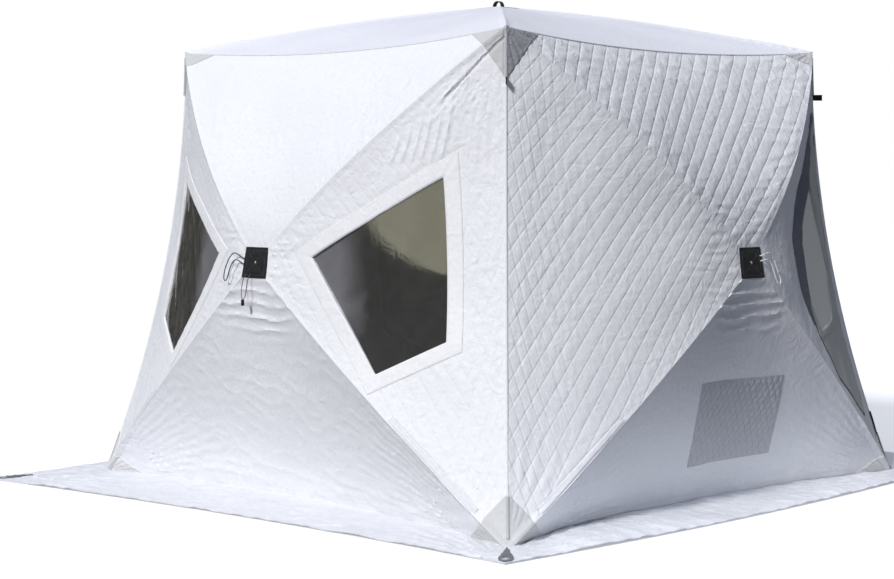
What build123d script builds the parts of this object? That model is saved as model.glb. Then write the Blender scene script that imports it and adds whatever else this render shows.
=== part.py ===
"""Ice fishing hut: a pop-up shelter of insulated cloth, held out by sprung poles.

Each wall is four cloth triangles that meet at a hub, where four poles cross and push the wall
outwards.  The roof is made the same way.  The front faces -Y, the right wall +X, and the ground
is Z = 0.  Sizes are millimetres.
"""

import os
from math import radians, tan

from build123d import *

os.makedirs("parts", exist_ok=True)

# Shell: places of the corners and hubs
BASE_HALF = 1220          # middle of the hut to a ground corner, along X and along Y
EAVE_HALF = 961           # middle of the hut to an eave corner
EAVE_HEIGHT = 1830
HUB_OUT = 1370            # middle of the hut to a wall hub
HUB_HEIGHT = 959
ROOF_HEIGHT = 2036
CLOTH = 8                 # quilted insulated cloth, measured 1100 mm from the middle
CLOTH_RADIUS = 1100

# How far the seams leave straight lines at their middles
UPPER_POLE_BOW = 65       # a wall's upper poles, outwards
LOWER_POLE_BOW = 32
ROOF_POLE_BOW = 22        # upwards
UPRIGHT_SAG = 84          # upright edges, towards the middle of the hut
EAVE_SAG = 40             # eaves, inwards and down alike
BASE_SAG = 132            # foot of a wall, inwards

# Poles and hubs
POLE_DIAMETER = 11
POLE_DEPTH = 19           # outer face of the cloth to a pole's middle, like CLOTH
HUB_PATCH = 134
HUB_PATCH_PROUD = 3
HUB_DIAMETER = 96
HUB_THICKNESS = 26
HUB_SEAT = 0.8            # hub's rim to the middle of a pole's end, which is cut square to the pole
TIP_SEAT = 0.3
TIP_RADIUS = 15
TIP_DEPTH = 27

# Windows: corners as shares of the way from hub to eave corner, and from hub to ground corner
WINDOW_CORNERS = [(0.580, 0.182), (0.156, 0.111), (0.058, 0.463), (0.252, 0.507)]
WINDOW_ROUND = 14
FILM = 1.6
FILM_DEPTH = 4            # outer face of the cloth to the film's outer face

# Door in the back side panel of the right and left walls, its corners given as the windows' are
DOOR_CORNERS = [(0.822, 0.078), (0.215, 0.179), (0.106, 0.330), (0.048, 0.819)]
DOOR_ROUND = 60
ZIP_WIDTH = 14
ZIP_THICKNESS = 4
FLAP_WIDTH = 62
FLAP_THICKNESS = 3
DOOR_WINDOW_BORDER = 92

# Skirt
SKIRT = 8
NEAR_TIP = (176, 199)     # ground corner to skirt tip, beyond the corner in X and in Y
PULLED_TIP = (110, 500)
FRONT_SKIRT_IN = 60       # outer edge's middle, inside a straight line between the tips
SIDE_SKIRT_OUT = 88

# Patches, tabs and eyelets
CORNER_PATCH = 183        # eave or ground corner to the patch's end along each edge
PATCH_PROUD = 2.4
QUILT_PATCH = (545, 330)
QUILT_PATCH_FOOT = 172
QUILT_PATCH_SHIFT = 30
TAB_DROP = 190            # eave corner down to a guy tab
TAB_SIZE = (44, 3, 26)
EYELET_HOLE = 16
EYELET_RIM = 7
EYELET_HEIGHT = 12
PEG_TAB = 84              # skirt tip to the tab's inner edge
EYELET_INSET = 46         # skirt tip to eyelet's middle

# Cords
CORD = 4.5
TOGGLE_CORD = 3
TOGGLE = (13, 24)         # diameter and length of the bead below the thin loop
TOGGLE_SEAT = 0.3
STRAP_WIDTH = 25
STRAP_THICKNESS = 3
STRAP_RISE = 30
STRAP_SPAN = 90

MIDDLE = Vector(0, 0, HUB_HEIGHT)
WALLS = {"front": 0, "right": 1, "back": 2, "left": 3}


def save(builder, name):
    builder.part.label = name
    export_step(builder.part, f"parts/{name}.step")


def depth(size):
    """Scale about the middle of the hut that moves the shell inwards by a size."""
    return 1 - size / CLOTH_RADIUS


def shrunk(point, scale):
    return MIDDLE + (point - MIDDLE) * scale


def on_wall(x, out, z, wall):
    """A point of a wall: x to the right as seen from outside, out from the middle of the hut."""
    return Vector(x, -out, z).rotate(Axis.Z, 90 * WALLS[wall])


def eave_corner(side, wall):
    return on_wall(side * EAVE_HALF, EAVE_HALF, EAVE_HEIGHT, wall)


def ground_corner(side, wall):
    return on_wall(side * BASE_HALF, BASE_HALF, 0, wall)


def wall_hub(wall):
    return on_wall(0, HUB_OUT, HUB_HEIGHT, wall)


def towards(start, end, distance):
    return start + (end - start).normalized() * distance


def bowed(start, end, bow):
    """Middle control point of a seam that leaves the straight line by bow at its middle."""
    return (start + end) * 0.5 + bow * 2


def at(seam, share):
    """A point on a seam, which is a curve on three control points."""
    a, b, c = seam
    return a * (1 - share) ** 2 + b * (2 * share * (1 - share)) + c * share**2


def pole_seam(hub, corner, bow):
    """Seam over a pole, from the edge of the hub patch to the corner."""
    return [towards(hub, corner, HUB_PATCH / 2**0.5), bowed(hub, corner, bow), corner]


def upper_seam(side, wall):
    out = on_wall(0, UPPER_POLE_BOW, 0, wall)
    return pole_seam(wall_hub(wall), eave_corner(side, wall), out)


def lower_seam(side, wall):
    out = on_wall(0, LOWER_POLE_BOW, 0, wall)
    return pole_seam(wall_hub(wall), ground_corner(side, wall), out)


def upright_seam(side, wall):
    top, foot = eave_corner(side, wall), ground_corner(side, wall)
    inwards = on_wall(-side, -1, 0, wall).normalized()
    return [top, bowed(top, foot, inwards * UPRIGHT_SAG), foot]


def eave_seam(wall):
    left, right = eave_corner(-1, wall), eave_corner(1, wall)
    return [left, bowed(left, right, on_wall(0, -EAVE_SAG, -EAVE_SAG, wall)), right]


def base_seam(wall):
    left, right = ground_corner(-1, wall), ground_corner(1, wall)
    return [left, bowed(left, right, on_wall(0, -BASE_SAG, 0, wall)), right]


def roof_seam(side, wall):
    return pole_seam(Vector(0, 0, ROOF_HEIGHT), eave_corner(side, wall), Vector(0, 0, ROOF_POLE_BOW))


def panel_net(first, last, rim):
    """Control points of a triangular panel between two pole seams and the rim opposite its hub."""
    a, b = first, last
    inner = (a[0] + b[0]) * 0.5
    corners = (a[0] + b[0] + a[2] + b[2]) * 0.25
    centre = (a[1] + b[1]) * 0.5 + (inner + rim[1]) * 0.5 - corners
    return [[a[0], inner, b[0]], [a[1], centre, b[1]], [a[2], rim[1], b[2]]]


def layer(net, outer, inner):
    """Solid layer of cloth on a net, between two depths below the shell's outer face."""
    top = [[shrunk(p, depth(outer)) for p in row] for row in net]
    low = [[shrunk(p, depth(inner)) for p in row] for row in net]
    faces = [Face.make_bezier_surface(top), Face.make_bezier_surface(low)]
    for pick in (lambda n: n[0], lambda n: n[-1], lambda n: [r[0] for r in n], lambda n: [r[-1] for r in n]):
        faces.append(Face.make_bezier_surface([pick(top), pick(low)]))
    return Solid(Shell(faces))


def wall_nets(wall):
    """The four panels of a wall, by the side of the hub that they lie on, as seen from outside."""
    ul, ur = upper_seam(-1, wall), upper_seam(1, wall)
    ll, lr = lower_seam(-1, wall), lower_seam(1, wall)
    return {
        "top": panel_net(ul, ur, eave_seam(wall)),
        "bottom": panel_net(ll, lr, base_seam(wall)),
        -1: panel_net(ul, ll, upright_seam(-1, wall)),
        1: panel_net(ur, lr, upright_seam(1, wall)),
    }


# The side panels are named for the way they face on the whole hut.
SIDE_NAMES = {"front": {-1: "left", 1: "right"}, "right": {-1: "front", 1: "back"},
              "back": {-1: "right", 1: "left"}, "left": {-1: "back", 1: "front"}}
NETS = {wall: wall_nets(wall) for wall in WALLS}
ROOF_NETS = {wall: panel_net(roof_seam(-1, wall), roof_seam(1, wall), eave_seam(wall)) for wall in WALLS}
DOOR_SIDE = {"right": 1, "left": -1}


def wall_plane(wall):
    """Upright plane through the middle of the hut, with x and z as on_wall has them."""
    return Plane(origin=(0, 0, 0), x_dir=on_wall(1, 0, 0, wall), z_dir=on_wall(0, 1, 0, wall))


def panel_place(eave_share, ground_share, side):
    """Place of a panel's point on the wall's plane, from its shares of the way to the corners."""
    x = eave_share * EAVE_HALF + ground_share * BASE_HALF
    z = HUB_HEIGHT + eave_share * (EAVE_HEIGHT - HUB_HEIGHT) - ground_share * HUB_HEIGHT
    return side * x, z


def window_sketch(wall, side):
    with BuildSketch(wall_plane(wall)) as outline:
        with BuildLine():
            Polyline(*[panel_place(s, t, side) for s, t in WINDOW_CORNERS], close=True)
        make_face()
        fillet(outline.vertices(), WINDOW_ROUND)
    return outline.sketch


def door_sketch(wall, inset=0):
    with BuildSketch(wall_plane(wall)) as outline:
        with BuildLine():
            Polyline(*[panel_place(s, t, DOOR_SIDE[wall]) for s, t in DOOR_CORNERS], close=True)
        make_face()
        if inset:
            offset(amount=-inset, kind=Kind.INTERSECTION)
        fillet(outline.vertices(), max(DOOR_ROUND - inset, WINDOW_ROUND))
    return outline.sketch


def through(sketch, wall):
    """Solid that a sketch on a wall's plane cuts out, running outwards through the wall."""
    with BuildPart() as cutter:
        add(sketch)
        extrude(amount=HUB_OUT + 3 * CLOTH, dir=on_wall(0, 1, 0, wall))
    return cutter.part


def cloth_piece(net, outer, inner, within=None, cut=None):
    """Layer of a panel between two depths, kept within one solid and cut by another."""
    with BuildPart() as piece:
        add(layer(net, outer, inner))
        if within:
            add(within, mode=Mode.INTERSECT)
        if cut:
            add(cut, mode=Mode.SUBTRACT)
    return piece.part


# Openings: door outlines from the cut in the wall inwards, and the windows
DOOR_CUTS = {wall: through(door_sketch(wall), wall) for wall in DOOR_SIDE}
ZIP_CUTS = {wall: through(door_sketch(wall, ZIP_WIDTH), wall) for wall in DOOR_SIDE}
FLAP_CUTS = {wall: through(door_sketch(wall, -FLAP_WIDTH / 3), wall) for wall in DOOR_SIDE}
FLAP_HOLES = {wall: through(door_sketch(wall, FLAP_WIDTH * 2 / 3), wall) for wall in DOOR_SIDE}
DOOR_WINDOW_CUTS = {wall: through(door_sketch(wall, DOOR_WINDOW_BORDER), wall) for wall in DOOR_SIDE}
WINDOW_CUTS = {(wall, side): through(window_sketch(wall, side), wall)
               for wall in ("front", "back") for side in (-1, 1)}


# Wall panels, with the windows and the door openings cut through
for wall, nets in NETS.items():
    for place in ("top", "bottom"):
        with BuildPart() as panel:
            add(layer(nets[place], 0, CLOTH))
        save(panel, f"{wall}_wall_{place}")
    for side in (-1, 1):
        with BuildPart() as panel:
            add(layer(nets[side], 0, CLOTH))
            if (wall, side) in WINDOW_CUTS:
                add(WINDOW_CUTS[wall, side], mode=Mode.SUBTRACT)
            if DOOR_SIDE.get(wall) == side:
                add(DOOR_CUTS[wall], mode=Mode.SUBTRACT)
        save(panel, f"{wall}_wall_{SIDE_NAMES[wall][side]}")

# Roof panels
for wall, net in ROOF_NETS.items():
    with BuildPart() as panel:
        add(layer(net, 0, CLOTH))
    save(panel, f"roof_{wall}")

# Film windows: the two windows of a wall share a node
for wall in ("front", "back"):
    panes = [cloth_piece(NETS[wall][side], FILM_DEPTH, FILM_DEPTH + FILM, WINDOW_CUTS[wall, side])
             for side in (-1, 1)]
    with BuildPart() as films:
        add(panes)
    save(films, f"{wall}_windows")

# Doors, their zips, storm flaps and film windows
for wall, side in DOOR_SIDE.items():
    with BuildPart() as door:
        add(layer(NETS[wall][side], 0, CLOTH))
        add(ZIP_CUTS[wall], mode=Mode.INTERSECT)
        add(DOOR_WINDOW_CUTS[wall], mode=Mode.SUBTRACT)
    save(door, f"{wall}_door")


def on_both_doors(outer, inner, within, cut=None):
    """The same layer of both doors, within one outline and outside another."""
    return [cloth_piece(NETS[wall][side], outer, inner, within[wall], cut[wall] if cut else None)
            for wall, side in DOOR_SIDE.items()]


ZIP_DEPTH = (CLOTH - ZIP_THICKNESS) / 2
zip_rings = on_both_doors(ZIP_DEPTH, ZIP_DEPTH + ZIP_THICKNESS, DOOR_CUTS, ZIP_CUTS)
with BuildPart() as door_zips:
    add(zip_rings)
save(door_zips, "door_zips")

flap_rings = on_both_doors(-FLAP_THICKNESS, 0, FLAP_CUTS, FLAP_HOLES)
with BuildPart() as door_flaps:
    add(flap_rings)
save(door_flaps, "door_flaps")

door_panes = on_both_doors(FILM_DEPTH, FILM_DEPTH + FILM, DOOR_WINDOW_CUTS)
with BuildPart() as door_windows:
    add(door_panes)
save(door_windows, "door_windows")


# Quilted patches low on the right and left walls
def quilt_sketch(wall):
    with BuildSketch(wall_plane(wall)) as outline:
        with Locations((DOOR_SIDE[wall] * QUILT_PATCH_SHIFT, QUILT_PATCH_FOOT + QUILT_PATCH[1] / 2)):
            Rectangle(*QUILT_PATCH)
    return outline.sketch


quilts = [cloth_piece(NETS[wall]["bottom"], -PATCH_PROUD, 0, through(quilt_sketch(wall), wall))
          for wall in DOOR_SIDE]
with BuildPart() as quilted_patches:
    add(quilts)
save(quilted_patches, "quilted_patches")


# Corner patches: the panels that meet at a corner, covered as far as a straight cut
def corner_patch(corner, ends, nets):
    points = [towards(corner, end, CORNER_PATCH) for end in ends]
    out = (points[1] - points[0]).cross(points[2] - points[0]).normalized()
    if out.dot(corner - points[0]) < 0:
        out = out * -1
    with BuildPart() as patch:
        for net in nets:
            add(layer(net, -PATCH_PROUD, 0))
        split(bisect_by=Plane(origin=points[0], z_dir=out), keep=Keep.TOP)
        split(bisect_by=Plane.XY.offset(SKIRT), keep=Keep.TOP)
    return patch.part


def beside(wall):
    """The wall that meets this one at its right-hand corner, as seen from outside."""
    names = list(WALLS)
    return names[(WALLS[wall] + 1) % 4]


top_patches = []
ground_patches = []
for wall in WALLS:
    other = beside(wall)
    sides = [NETS[wall][1], NETS[other][-1]]
    eaves = [eave_corner(-1, wall), eave_corner(1, other)]
    feet = [ground_corner(-1, wall), ground_corner(1, other)]
    tops = [NETS[wall]["top"], NETS[other]["top"], ROOF_NETS[wall], ROOF_NETS[other]]
    bottoms = [NETS[wall]["bottom"], NETS[other]["bottom"]]
    top_patches.append(corner_patch(eave_corner(1, wall), eaves + [ground_corner(1, wall)], sides + tops))
    ground_patches.append(corner_patch(ground_corner(1, wall), feet + [eave_corner(1, wall)], sides + bottoms))

with BuildPart() as top_corner_patches:
    add(top_patches)
save(top_corner_patches, "top_corner_patches")

with BuildPart() as ground_corner_patches:
    add(ground_patches)
save(ground_corner_patches, "ground_corner_patches")


# Hub patches: flat plates that fill the holes between the panels' inner ends
def hub_corners(wall):
    """Corners of a hub's patch: upper left, upper right, lower left, lower right."""
    return [[upper_seam(-1, wall)[0], upper_seam(1, wall)[0]], [lower_seam(-1, wall)[0], lower_seam(1, wall)[0]]]


HUB_NETS = {wall: hub_corners(wall) for wall in WALLS}
HUB_NETS["roof"] = [[roof_seam(1, "back")[0], roof_seam(-1, "back")[0]],
                    [roof_seam(-1, "front")[0], roof_seam(1, "front")[0]]]
with BuildPart() as hub_patches:
    for net in HUB_NETS.values():
        add(layer(net, -HUB_PATCH_PROUD, CLOTH))
save(hub_patches, "hub_patches")


# Hubs: turned plastic discs against the inner faces of the hub patches
def hub_plane(net):
    """Plane on the inner face of a hub patch, facing inwards."""
    a, b, c, d = [shrunk(p, depth(CLOTH)) for row in net for p in row]
    inwards = (d - a).cross(c - b).normalized()
    if inwards.dot(MIDDLE - a) < 0:
        inwards = inwards * -1
    return Plane(origin=(a + b + c + d) * 0.25, z_dir=inwards)


with BuildPart() as pole_hubs:
    for net in HUB_NETS.values():
        with BuildSketch(hub_plane(net)):
            Circle(HUB_DIAMETER / 2)
        extrude(amount=HUB_THICKNESS)
save(pole_hubs, "pole_hubs")


# Poles: each bends from its hub's rim to the tip in its corner, just inside the cloth
def pole_points(net_name, corner, seam):
    hub = hub_plane(HUB_NETS[net_name])
    socket = hub.origin + hub.z_dir * (POLE_DEPTH - CLOTH)
    tip = shrunk(corner, depth(TIP_DEPTH))
    middle = shrunk(at(seam, 0.5), depth(POLE_DEPTH))
    flat = (tip - socket) - hub.z_dir * (tip - socket).dot(hub.z_dir)
    start = socket + flat.normalized() * (HUB_DIAMETER / 2 + HUB_SEAT)
    return start, middle, towards(tip, middle, TIP_RADIUS + TIP_SEAT)


def pole_set(routes):
    with BuildPart() as poles:
        for points in routes:
            with BuildLine() as path:
                ThreePointArc(*points)
            with BuildSketch(path.line ^ 0):
                Circle(POLE_DIAMETER / 2)
            sweep(path=path.line)
    return poles


for wall in WALLS:
    routes = [pole_points(wall, eave_corner(side, wall), upper_seam(side, wall)) for side in (-1, 1)]
    routes += [pole_points(wall, ground_corner(side, wall), lower_seam(side, wall)) for side in (-1, 1)]
    save(pole_set(routes), f"{wall}_wall_poles")
save(pole_set([pole_points("roof", eave_corner(1, wall), roof_seam(1, wall)) for wall in WALLS]), "roof_poles")

# Tips: balls in the pockets of the corners, where the poles end
with BuildPart() as pole_tips:
    for wall in WALLS:
        for corner in (eave_corner(1, wall), ground_corner(1, wall)):
            with Locations(shrunk(corner, depth(TIP_DEPTH))):
                Sphere(TIP_RADIUS)
save(pole_tips, "pole_tips")


# Skirts: flat on the ground from the foot of each wall, mitred at the corners
def skirt_tip(side, wall):
    """Outer corner of the skirt: two opposite ones are pulled further out than the others."""
    corner = ground_corner(side, wall)
    pulled = corner.X * corner.Y > 0
    dx, dy = PULLED_TIP if pulled else NEAR_TIP
    return corner + Vector(dx if corner.X > 0 else -dx, dy if corner.Y > 0 else -dy, 0)


def eyelet_place(side, wall):
    return towards(skirt_tip(side, wall), ground_corner(side, wall), EYELET_INSET)


def whole_skirt(wall):
    left, right = skirt_tip(-1, wall), skirt_tip(1, wall)
    shift = -FRONT_SKIRT_IN if wall in ("front", "back") else SIDE_SKIRT_OUT
    with BuildPart() as skirt:
        with BuildSketch():
            with BuildLine():
                Bezier(*base_seam(wall))
                Line(ground_corner(1, wall), right)
                Bezier(right, bowed(right, left, on_wall(0, shift, 0, wall)), left)
                Line(left, ground_corner(-1, wall))
            make_face()
        extrude(amount=SKIRT)
        for place in ("bottom", -1, 1):
            add(layer(NETS[wall][place], 0, CLOTH), mode=Mode.SUBTRACT)
    return skirt.part


def tab_line(side, wall):
    """Upright plane across a skirt's corner, where its webbing tab begins, facing outwards."""
    tip, corner = skirt_tip(side, wall), ground_corner(side, wall)
    return Plane(origin=towards(tip, corner, PEG_TAB), z_dir=(tip - corner).normalized())


SKIRTS = {wall: whole_skirt(wall) for wall in WALLS}
for wall in WALLS:
    with BuildPart() as skirt:
        add(SKIRTS[wall])
        for side in (-1, 1):
            split(bisect_by=tab_line(side, wall), keep=Keep.BOTTOM)
    save(skirt, f"skirt_{wall}")


# Peg tabs: the skirt's corners in webbing, each with an eyelet for an ice anchor
def peg_tab(wall):
    with BuildPart() as tab:
        add(SKIRTS[wall])
        add(SKIRTS[beside(wall)])
        split(bisect_by=tab_line(1, wall), keep=Keep.TOP)
        with Locations(eyelet_place(1, wall)):
            Cylinder(EYELET_HOLE / 2 + EYELET_RIM, 4 * SKIRT, mode=Mode.SUBTRACT)
    return tab.part


tabs = [peg_tab(wall) for wall in WALLS]
with BuildPart() as peg_tabs:
    add(tabs)
save(peg_tabs, "peg_tabs")

with BuildPart() as peg_eyelets:
    for wall in WALLS:
        with BuildSketch():
            with Locations(eyelet_place(1, wall)):
                Circle(EYELET_HOLE / 2 + EYELET_RIM)
                Circle(EYELET_HOLE / 2, mode=Mode.SUBTRACT)
        extrude(amount=EYELET_HEIGHT)
save(peg_eyelets, "peg_eyelets")

# Guy tabs: webbing ends that stand out of the upright edges below the corner patches
with BuildPart() as guy_tabs:
    for wall in WALLS:
        seam = upright_seam(1, wall)
        reach = on_wall(1, 1, 0, wall).normalized() * TAB_SIZE[0]
        upper = at(seam, (TAB_DROP - TAB_SIZE[2] / 2) / EAVE_HEIGHT)
        lower = at(seam, (TAB_DROP + TAB_SIZE[2] / 2) / EAVE_HEIGHT)
        with BuildSketch(Plane(origin=lower, x_dir=reach, z_dir=reach.cross(upper - lower))) as outline:
            with BuildLine():
                Polyline(*[outline.workplanes[0].to_local_coords(p)
                           for p in (lower, lower + reach, upper + reach, upper)], close=True)
            make_face()
        extrude(amount=TAB_SIZE[1] / 2, both=True)
save(guy_tabs, "guy_tabs")

# Strap: webbing arch over the roof hub
strap_base = shrunk(HUB_NETS["roof"][0][0], depth(-HUB_PATCH_PROUD)).Z
with BuildPart() as roof_strap:
    with BuildLine() as arch:
        ThreePointArc((-STRAP_SPAN / 2, 0, strap_base), (0, 0, strap_base + STRAP_RISE), (STRAP_SPAN / 2, 0, strap_base))
    with BuildSketch(Plane(origin=arch.line @ 0, x_dir=(0, 1, 0), z_dir=arch.line % 0)):
        Rectangle(STRAP_WIDTH, STRAP_THICKNESS)
    sweep(path=arch.line)
    split(bisect_by=Plane.XY.offset(strap_base), keep=Keep.TOP)
save(roof_strap, "roof_strap")


# Pull cords: loops out of the outer face of a hub patch and back into it.  Each point is given
# from the middle of that face: across the wall, out from it and up.
PULL_LOOP = [
    (-60, 0, 14), (-60, 12, 14), (-78, 20, 24), (-102, 22, 34), (-126, 20, 28), (-146, 18, 6),
    (-160, 16, -22), (-168, 14, -50), (-166, 14, -72), (-152, 14, -80), (-142, 15, -66),
    (-134, 17, -38), (-120, 20, -10), (-100, 21, 8), (-80, 18, 4), (-60, 12, -8), (-60, 0, -8),
]
SHORT_LOOP = [
    (-36, 0, -46), (-36, 10, -46), (-44, 15, -66), (-47, 14, -92), (-48, 12, -118), (-45, 11, -138),
    (-34, 11, -147), (-24, 11, -138), (-20, 12, -118), (-18, 14, -92), (-14, 14, -66),
    (-10, 10, -46), (-10, 0, -46),
]
SIDE_LOOP = [
    (60, 0, 26), (60, 12, 26), (78, 20, 33), (100, 21, 33), (118, 19, 16), (130, 17, -10),
    (142, 15, -38), (156, 13, -64), (158, 13, -84), (144, 13, -93), (130, 14, -78), (118, 16, -50),
    (108, 18, -22), (96, 20, 2), (80, 18, 10), (60, 12, 6), (60, 0, 6),
]


def patch_face(wall):
    """Plane on the outer face of a hub patch: x across the wall, z out of it."""
    a, b, c, d = [shrunk(p, depth(-HUB_PATCH_PROUD)) for row in HUB_NETS[wall] for p in row]
    across = on_wall(1, 0, 0, wall)
    return Plane(origin=(a + b + c + d) * 0.25, x_dir=across, z_dir=(b - c).cross(a - c))


def cord(name, wall, loop, diameter, mirrored=1):
    face = patch_face(wall)
    points = [face.from_local_coords(Vector(mirrored * x, z, out)) for x, out, z in loop]
    runs = [b - a for a, b in zip(points, points[1:])]
    radii = [0.45 * min(a.length, b.length) / tan(radians(a.get_angle(b) / 2)) for a, b in zip(runs, runs[1:])]
    print(name, "arc radii", [round(r, 1) for r in radii])
    with BuildPart() as tube:
        with BuildLine() as route:
            FilletPolyline(*points, radius=radii)
        with BuildSketch(route.line ^ 0):
            Circle(diameter / 2)
        sweep(path=route.line)
    save(tube, name)
    return tube.part


cord("front_pull_cord", "front", PULL_LOOP, CORD)
short_loop = cord("front_toggle_cord", "front", SHORT_LOOP, TOGGLE_CORD)
cord("right_pull_cord", "right", SIDE_LOOP, CORD)
cord("back_pull_cord", "back", PULL_LOOP, CORD)
cord("left_pull_cord", "left", SIDE_LOOP, CORD, -1)

# Toggle: a bead hanging at the bottom of the thin loop
loop_foot = short_loop.vertices().sort_by(Axis.Z)[0]
loop_box = short_loop.bounding_box()
with BuildPart() as cord_toggle:
    with BuildSketch(Plane.XY.offset(loop_box.min.Z - TOGGLE_SEAT)):
        with Locations((loop_foot.X, loop_foot.Y)):
            Circle(TOGGLE[0] / 2)
    extrude(amount=-TOGGLE[1])
    fillet(cord_toggle.edges(), TOGGLE[0] / 5)
save(cord_toggle, "cord_toggle")
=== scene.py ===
"""Ice fishing hut: pop-up shelter of quilted cloth on sprung poles, dressed on its frame."""
import math

import bmesh
import bpy
import numpy as np
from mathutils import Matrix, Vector, noise
from mathutils.geometry import delaunay_2d_cdt


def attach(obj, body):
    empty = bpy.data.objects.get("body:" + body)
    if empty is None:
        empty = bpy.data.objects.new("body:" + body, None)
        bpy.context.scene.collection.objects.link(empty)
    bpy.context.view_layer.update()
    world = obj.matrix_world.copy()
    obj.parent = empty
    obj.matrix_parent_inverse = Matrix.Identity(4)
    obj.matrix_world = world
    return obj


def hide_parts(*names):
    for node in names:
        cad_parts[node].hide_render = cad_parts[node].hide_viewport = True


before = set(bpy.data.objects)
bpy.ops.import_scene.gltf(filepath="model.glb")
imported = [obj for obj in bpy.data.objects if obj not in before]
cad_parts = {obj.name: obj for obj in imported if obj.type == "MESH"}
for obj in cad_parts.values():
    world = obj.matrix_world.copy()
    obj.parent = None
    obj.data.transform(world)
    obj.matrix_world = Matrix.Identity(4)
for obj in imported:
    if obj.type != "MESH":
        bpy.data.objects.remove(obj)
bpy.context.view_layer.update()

# ---------------------------------------------------------------------------------------------
# Studio: a level white floor that keeps the hut's shadow, a soft sun high in front, weak lamps
# for what the snow throws back and for the inside, a pale sky, and the camera off the near corner.
# ---------------------------------------------------------------------------------------------
scene = bpy.context.scene
scene.view_settings.view_transform = "Standard"


class Nodes:
    """A tree of shader nodes: node(...) adds a node, wires its inputs and returns it."""

    def __init__(self, owner):
        owner.use_nodes = True
        self.tree = owner.node_tree
        self.tree.nodes.clear()

    def node(self, kind, settings=None, **inputs):
        made = self.tree.nodes.new("ShaderNode" + kind)
        for key, value in (settings or {}).items():
            setattr(made, key, value)
        for key, value in inputs.items():
            key = key.replace("_", " ")
            socket = made.inputs[int(key[1:])] if key[:1] == "n" and key[1:].isdigit() else made.inputs[key]
            if isinstance(value, bpy.types.NodeSocket):
                self.tree.links.new(value, socket)
            else:
                socket.default_value = value
        return made

    def maths(self, operation, a, b=0.0):
        return self.node("Math", {"operation": operation}, n0=a, n1=b).outputs[0]

    def blend(self, share, first, second):
        return self.node("Mix", {"data_type": "RGBA"}, n0=share, n6=first, n7=second).outputs[2]

    def ramp(self, value, low, high, **ends):
        return self.node("MapRange", Value=value, From_Min=low, From_Max=high, **ends).outputs[0]

    def grain(self, place, scale, **inputs):
        return self.node("TexNoise", Vector=place, Scale=scale, **inputs).outputs[0]

    def wave(self, direction, place, scale):
        return self.node("TexWave", {"bands_direction": direction}, Vector=place, Scale=scale).outputs[1]

    def bump(self, height, distance, normal=None):
        made = self.node("Bump", Height=height, Distance=distance, Strength=1.0)
        if normal is not None:
            self.tree.links.new(normal, made.inputs["Normal"])
        return made.outputs[0]


class Finish(Nodes):
    """A new material, made up node by node and closed by done(...)."""

    def __init__(self, name):
        self.material = bpy.data.materials.new(name)
        super().__init__(self.material)

    def done(self, surface):
        self.node("OutputMaterial", Surface=surface)
        return self.material


def shades(*rgb):
    """Linear colour of an 8-bit shade."""
    return [(s / 255 / 12.92 if s < 10 else ((s / 255 + 0.055) / 1.055) ** 2.4) for s in rgb] + [1.0]


def times(colour, share):
    """A colour made darker or lighter by a share."""
    return [c * share for c in colour[:3]] + [1]


floor_finish = Finish("studio_floor")
seen = floor_finish.node("LightPath").outputs["Is Camera Ray"]
plain_floor = floor_finish.node("BsdfDiffuse", Color=(0.16, 0.166, 0.185, 1)).outputs[0]
seen_floor = floor_finish.node("BsdfDiffuse", Color=(0.80, 0.80, 0.82, 1)).outputs[0]
glow = floor_finish.node("Emission", Color=(1, 1, 1, 1), Strength=0.34).outputs[0]
lit = floor_finish.node("AddShader", n0=seen_floor, n1=glow).outputs[0]
floor_finish.done(floor_finish.node("MixShader", n0=seen, n1=plain_floor, n2=lit).outputs[0])
floor_mesh = bpy.data.meshes.new("studio_floor")
REACH = 40.0
floor_mesh.from_pydata([(-REACH, -REACH, 0), (REACH, -REACH, 0), (REACH, REACH, 0), (-REACH, REACH, 0)],
                       [], [(0, 1, 2, 3)])
floor_mesh.materials.append(floor_finish.material)
studio_floor = bpy.data.objects.new("studio_floor", floor_mesh)
scene.collection.objects.link(studio_floor)

scene.world = bpy.data.worlds.new("surround")
sky = Nodes(scene.world)
rays = sky.node("LightPath").outputs
seen = sky.maths("MAXIMUM", rays["Is Camera Ray"], rays["Is Transmission Ray"])
direction = sky.node("SeparateXYZ", Vector=sky.node("TexCoord").outputs["Generated"]).outputs
overhead = sky.ramp(direction[2], 0.20, 1.0, To_Min=0.035, To_Max=1.05)
beyond = sky.maths("ADD", direction[0], direction[1])
behind = sky.ramp(beyond, 0.0, 1.0, To_Min=1.0, To_Max=0.42)
strength = sky.maths("MULTIPLY", overhead, behind)
ambient = sky.node("Background", Color=(0.80, 0.86, 1.0, 1), Strength=strength).outputs[0]
white = sky.node("Background", Color=(1, 1, 1, 1)).outputs[0]
sky.node("OutputWorld", Surface=sky.node("MixShader", n0=seen, n1=ambient, n2=white).outputs[0])


def lamp(name, kind, place, aim, power, colour, **settings):
    """A light at a place that points at another."""
    light = bpy.data.lights.new(name, kind)
    light.energy = power
    light.color = colour
    for key, value in settings.items():
        setattr(light, key, value)
    made = bpy.data.objects.new(name, light)
    made.location = place
    made.rotation_euler = (Vector(aim) - Vector(place)).to_track_quat("-Z", "Y").to_euler()
    scene.collection.objects.link(made)
    return made


lamp("front_light", "SUN", (1.50, -7.4, 5.9), (0, 0, 0.9), 2.66, (1.0, 0.99, 0.975), angle=math.radians(9))
bounce = lamp("snow_bounce", "AREA", (1.66, -0.25, 0.075), (1.20, -0.25, 0.11), 1.45, (0.82, 0.88, 1.0),
              shape="RECTANGLE", size=2.3, size_y=0.05)
bounce.visible_camera = False
lamp("inside_glow", "AREA", (0, 0, 1.2), (0.6, -0.6, 0.2), 3.0, (0.92, 0.95, 1.0), shape="DISK", size=1.2)

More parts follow.
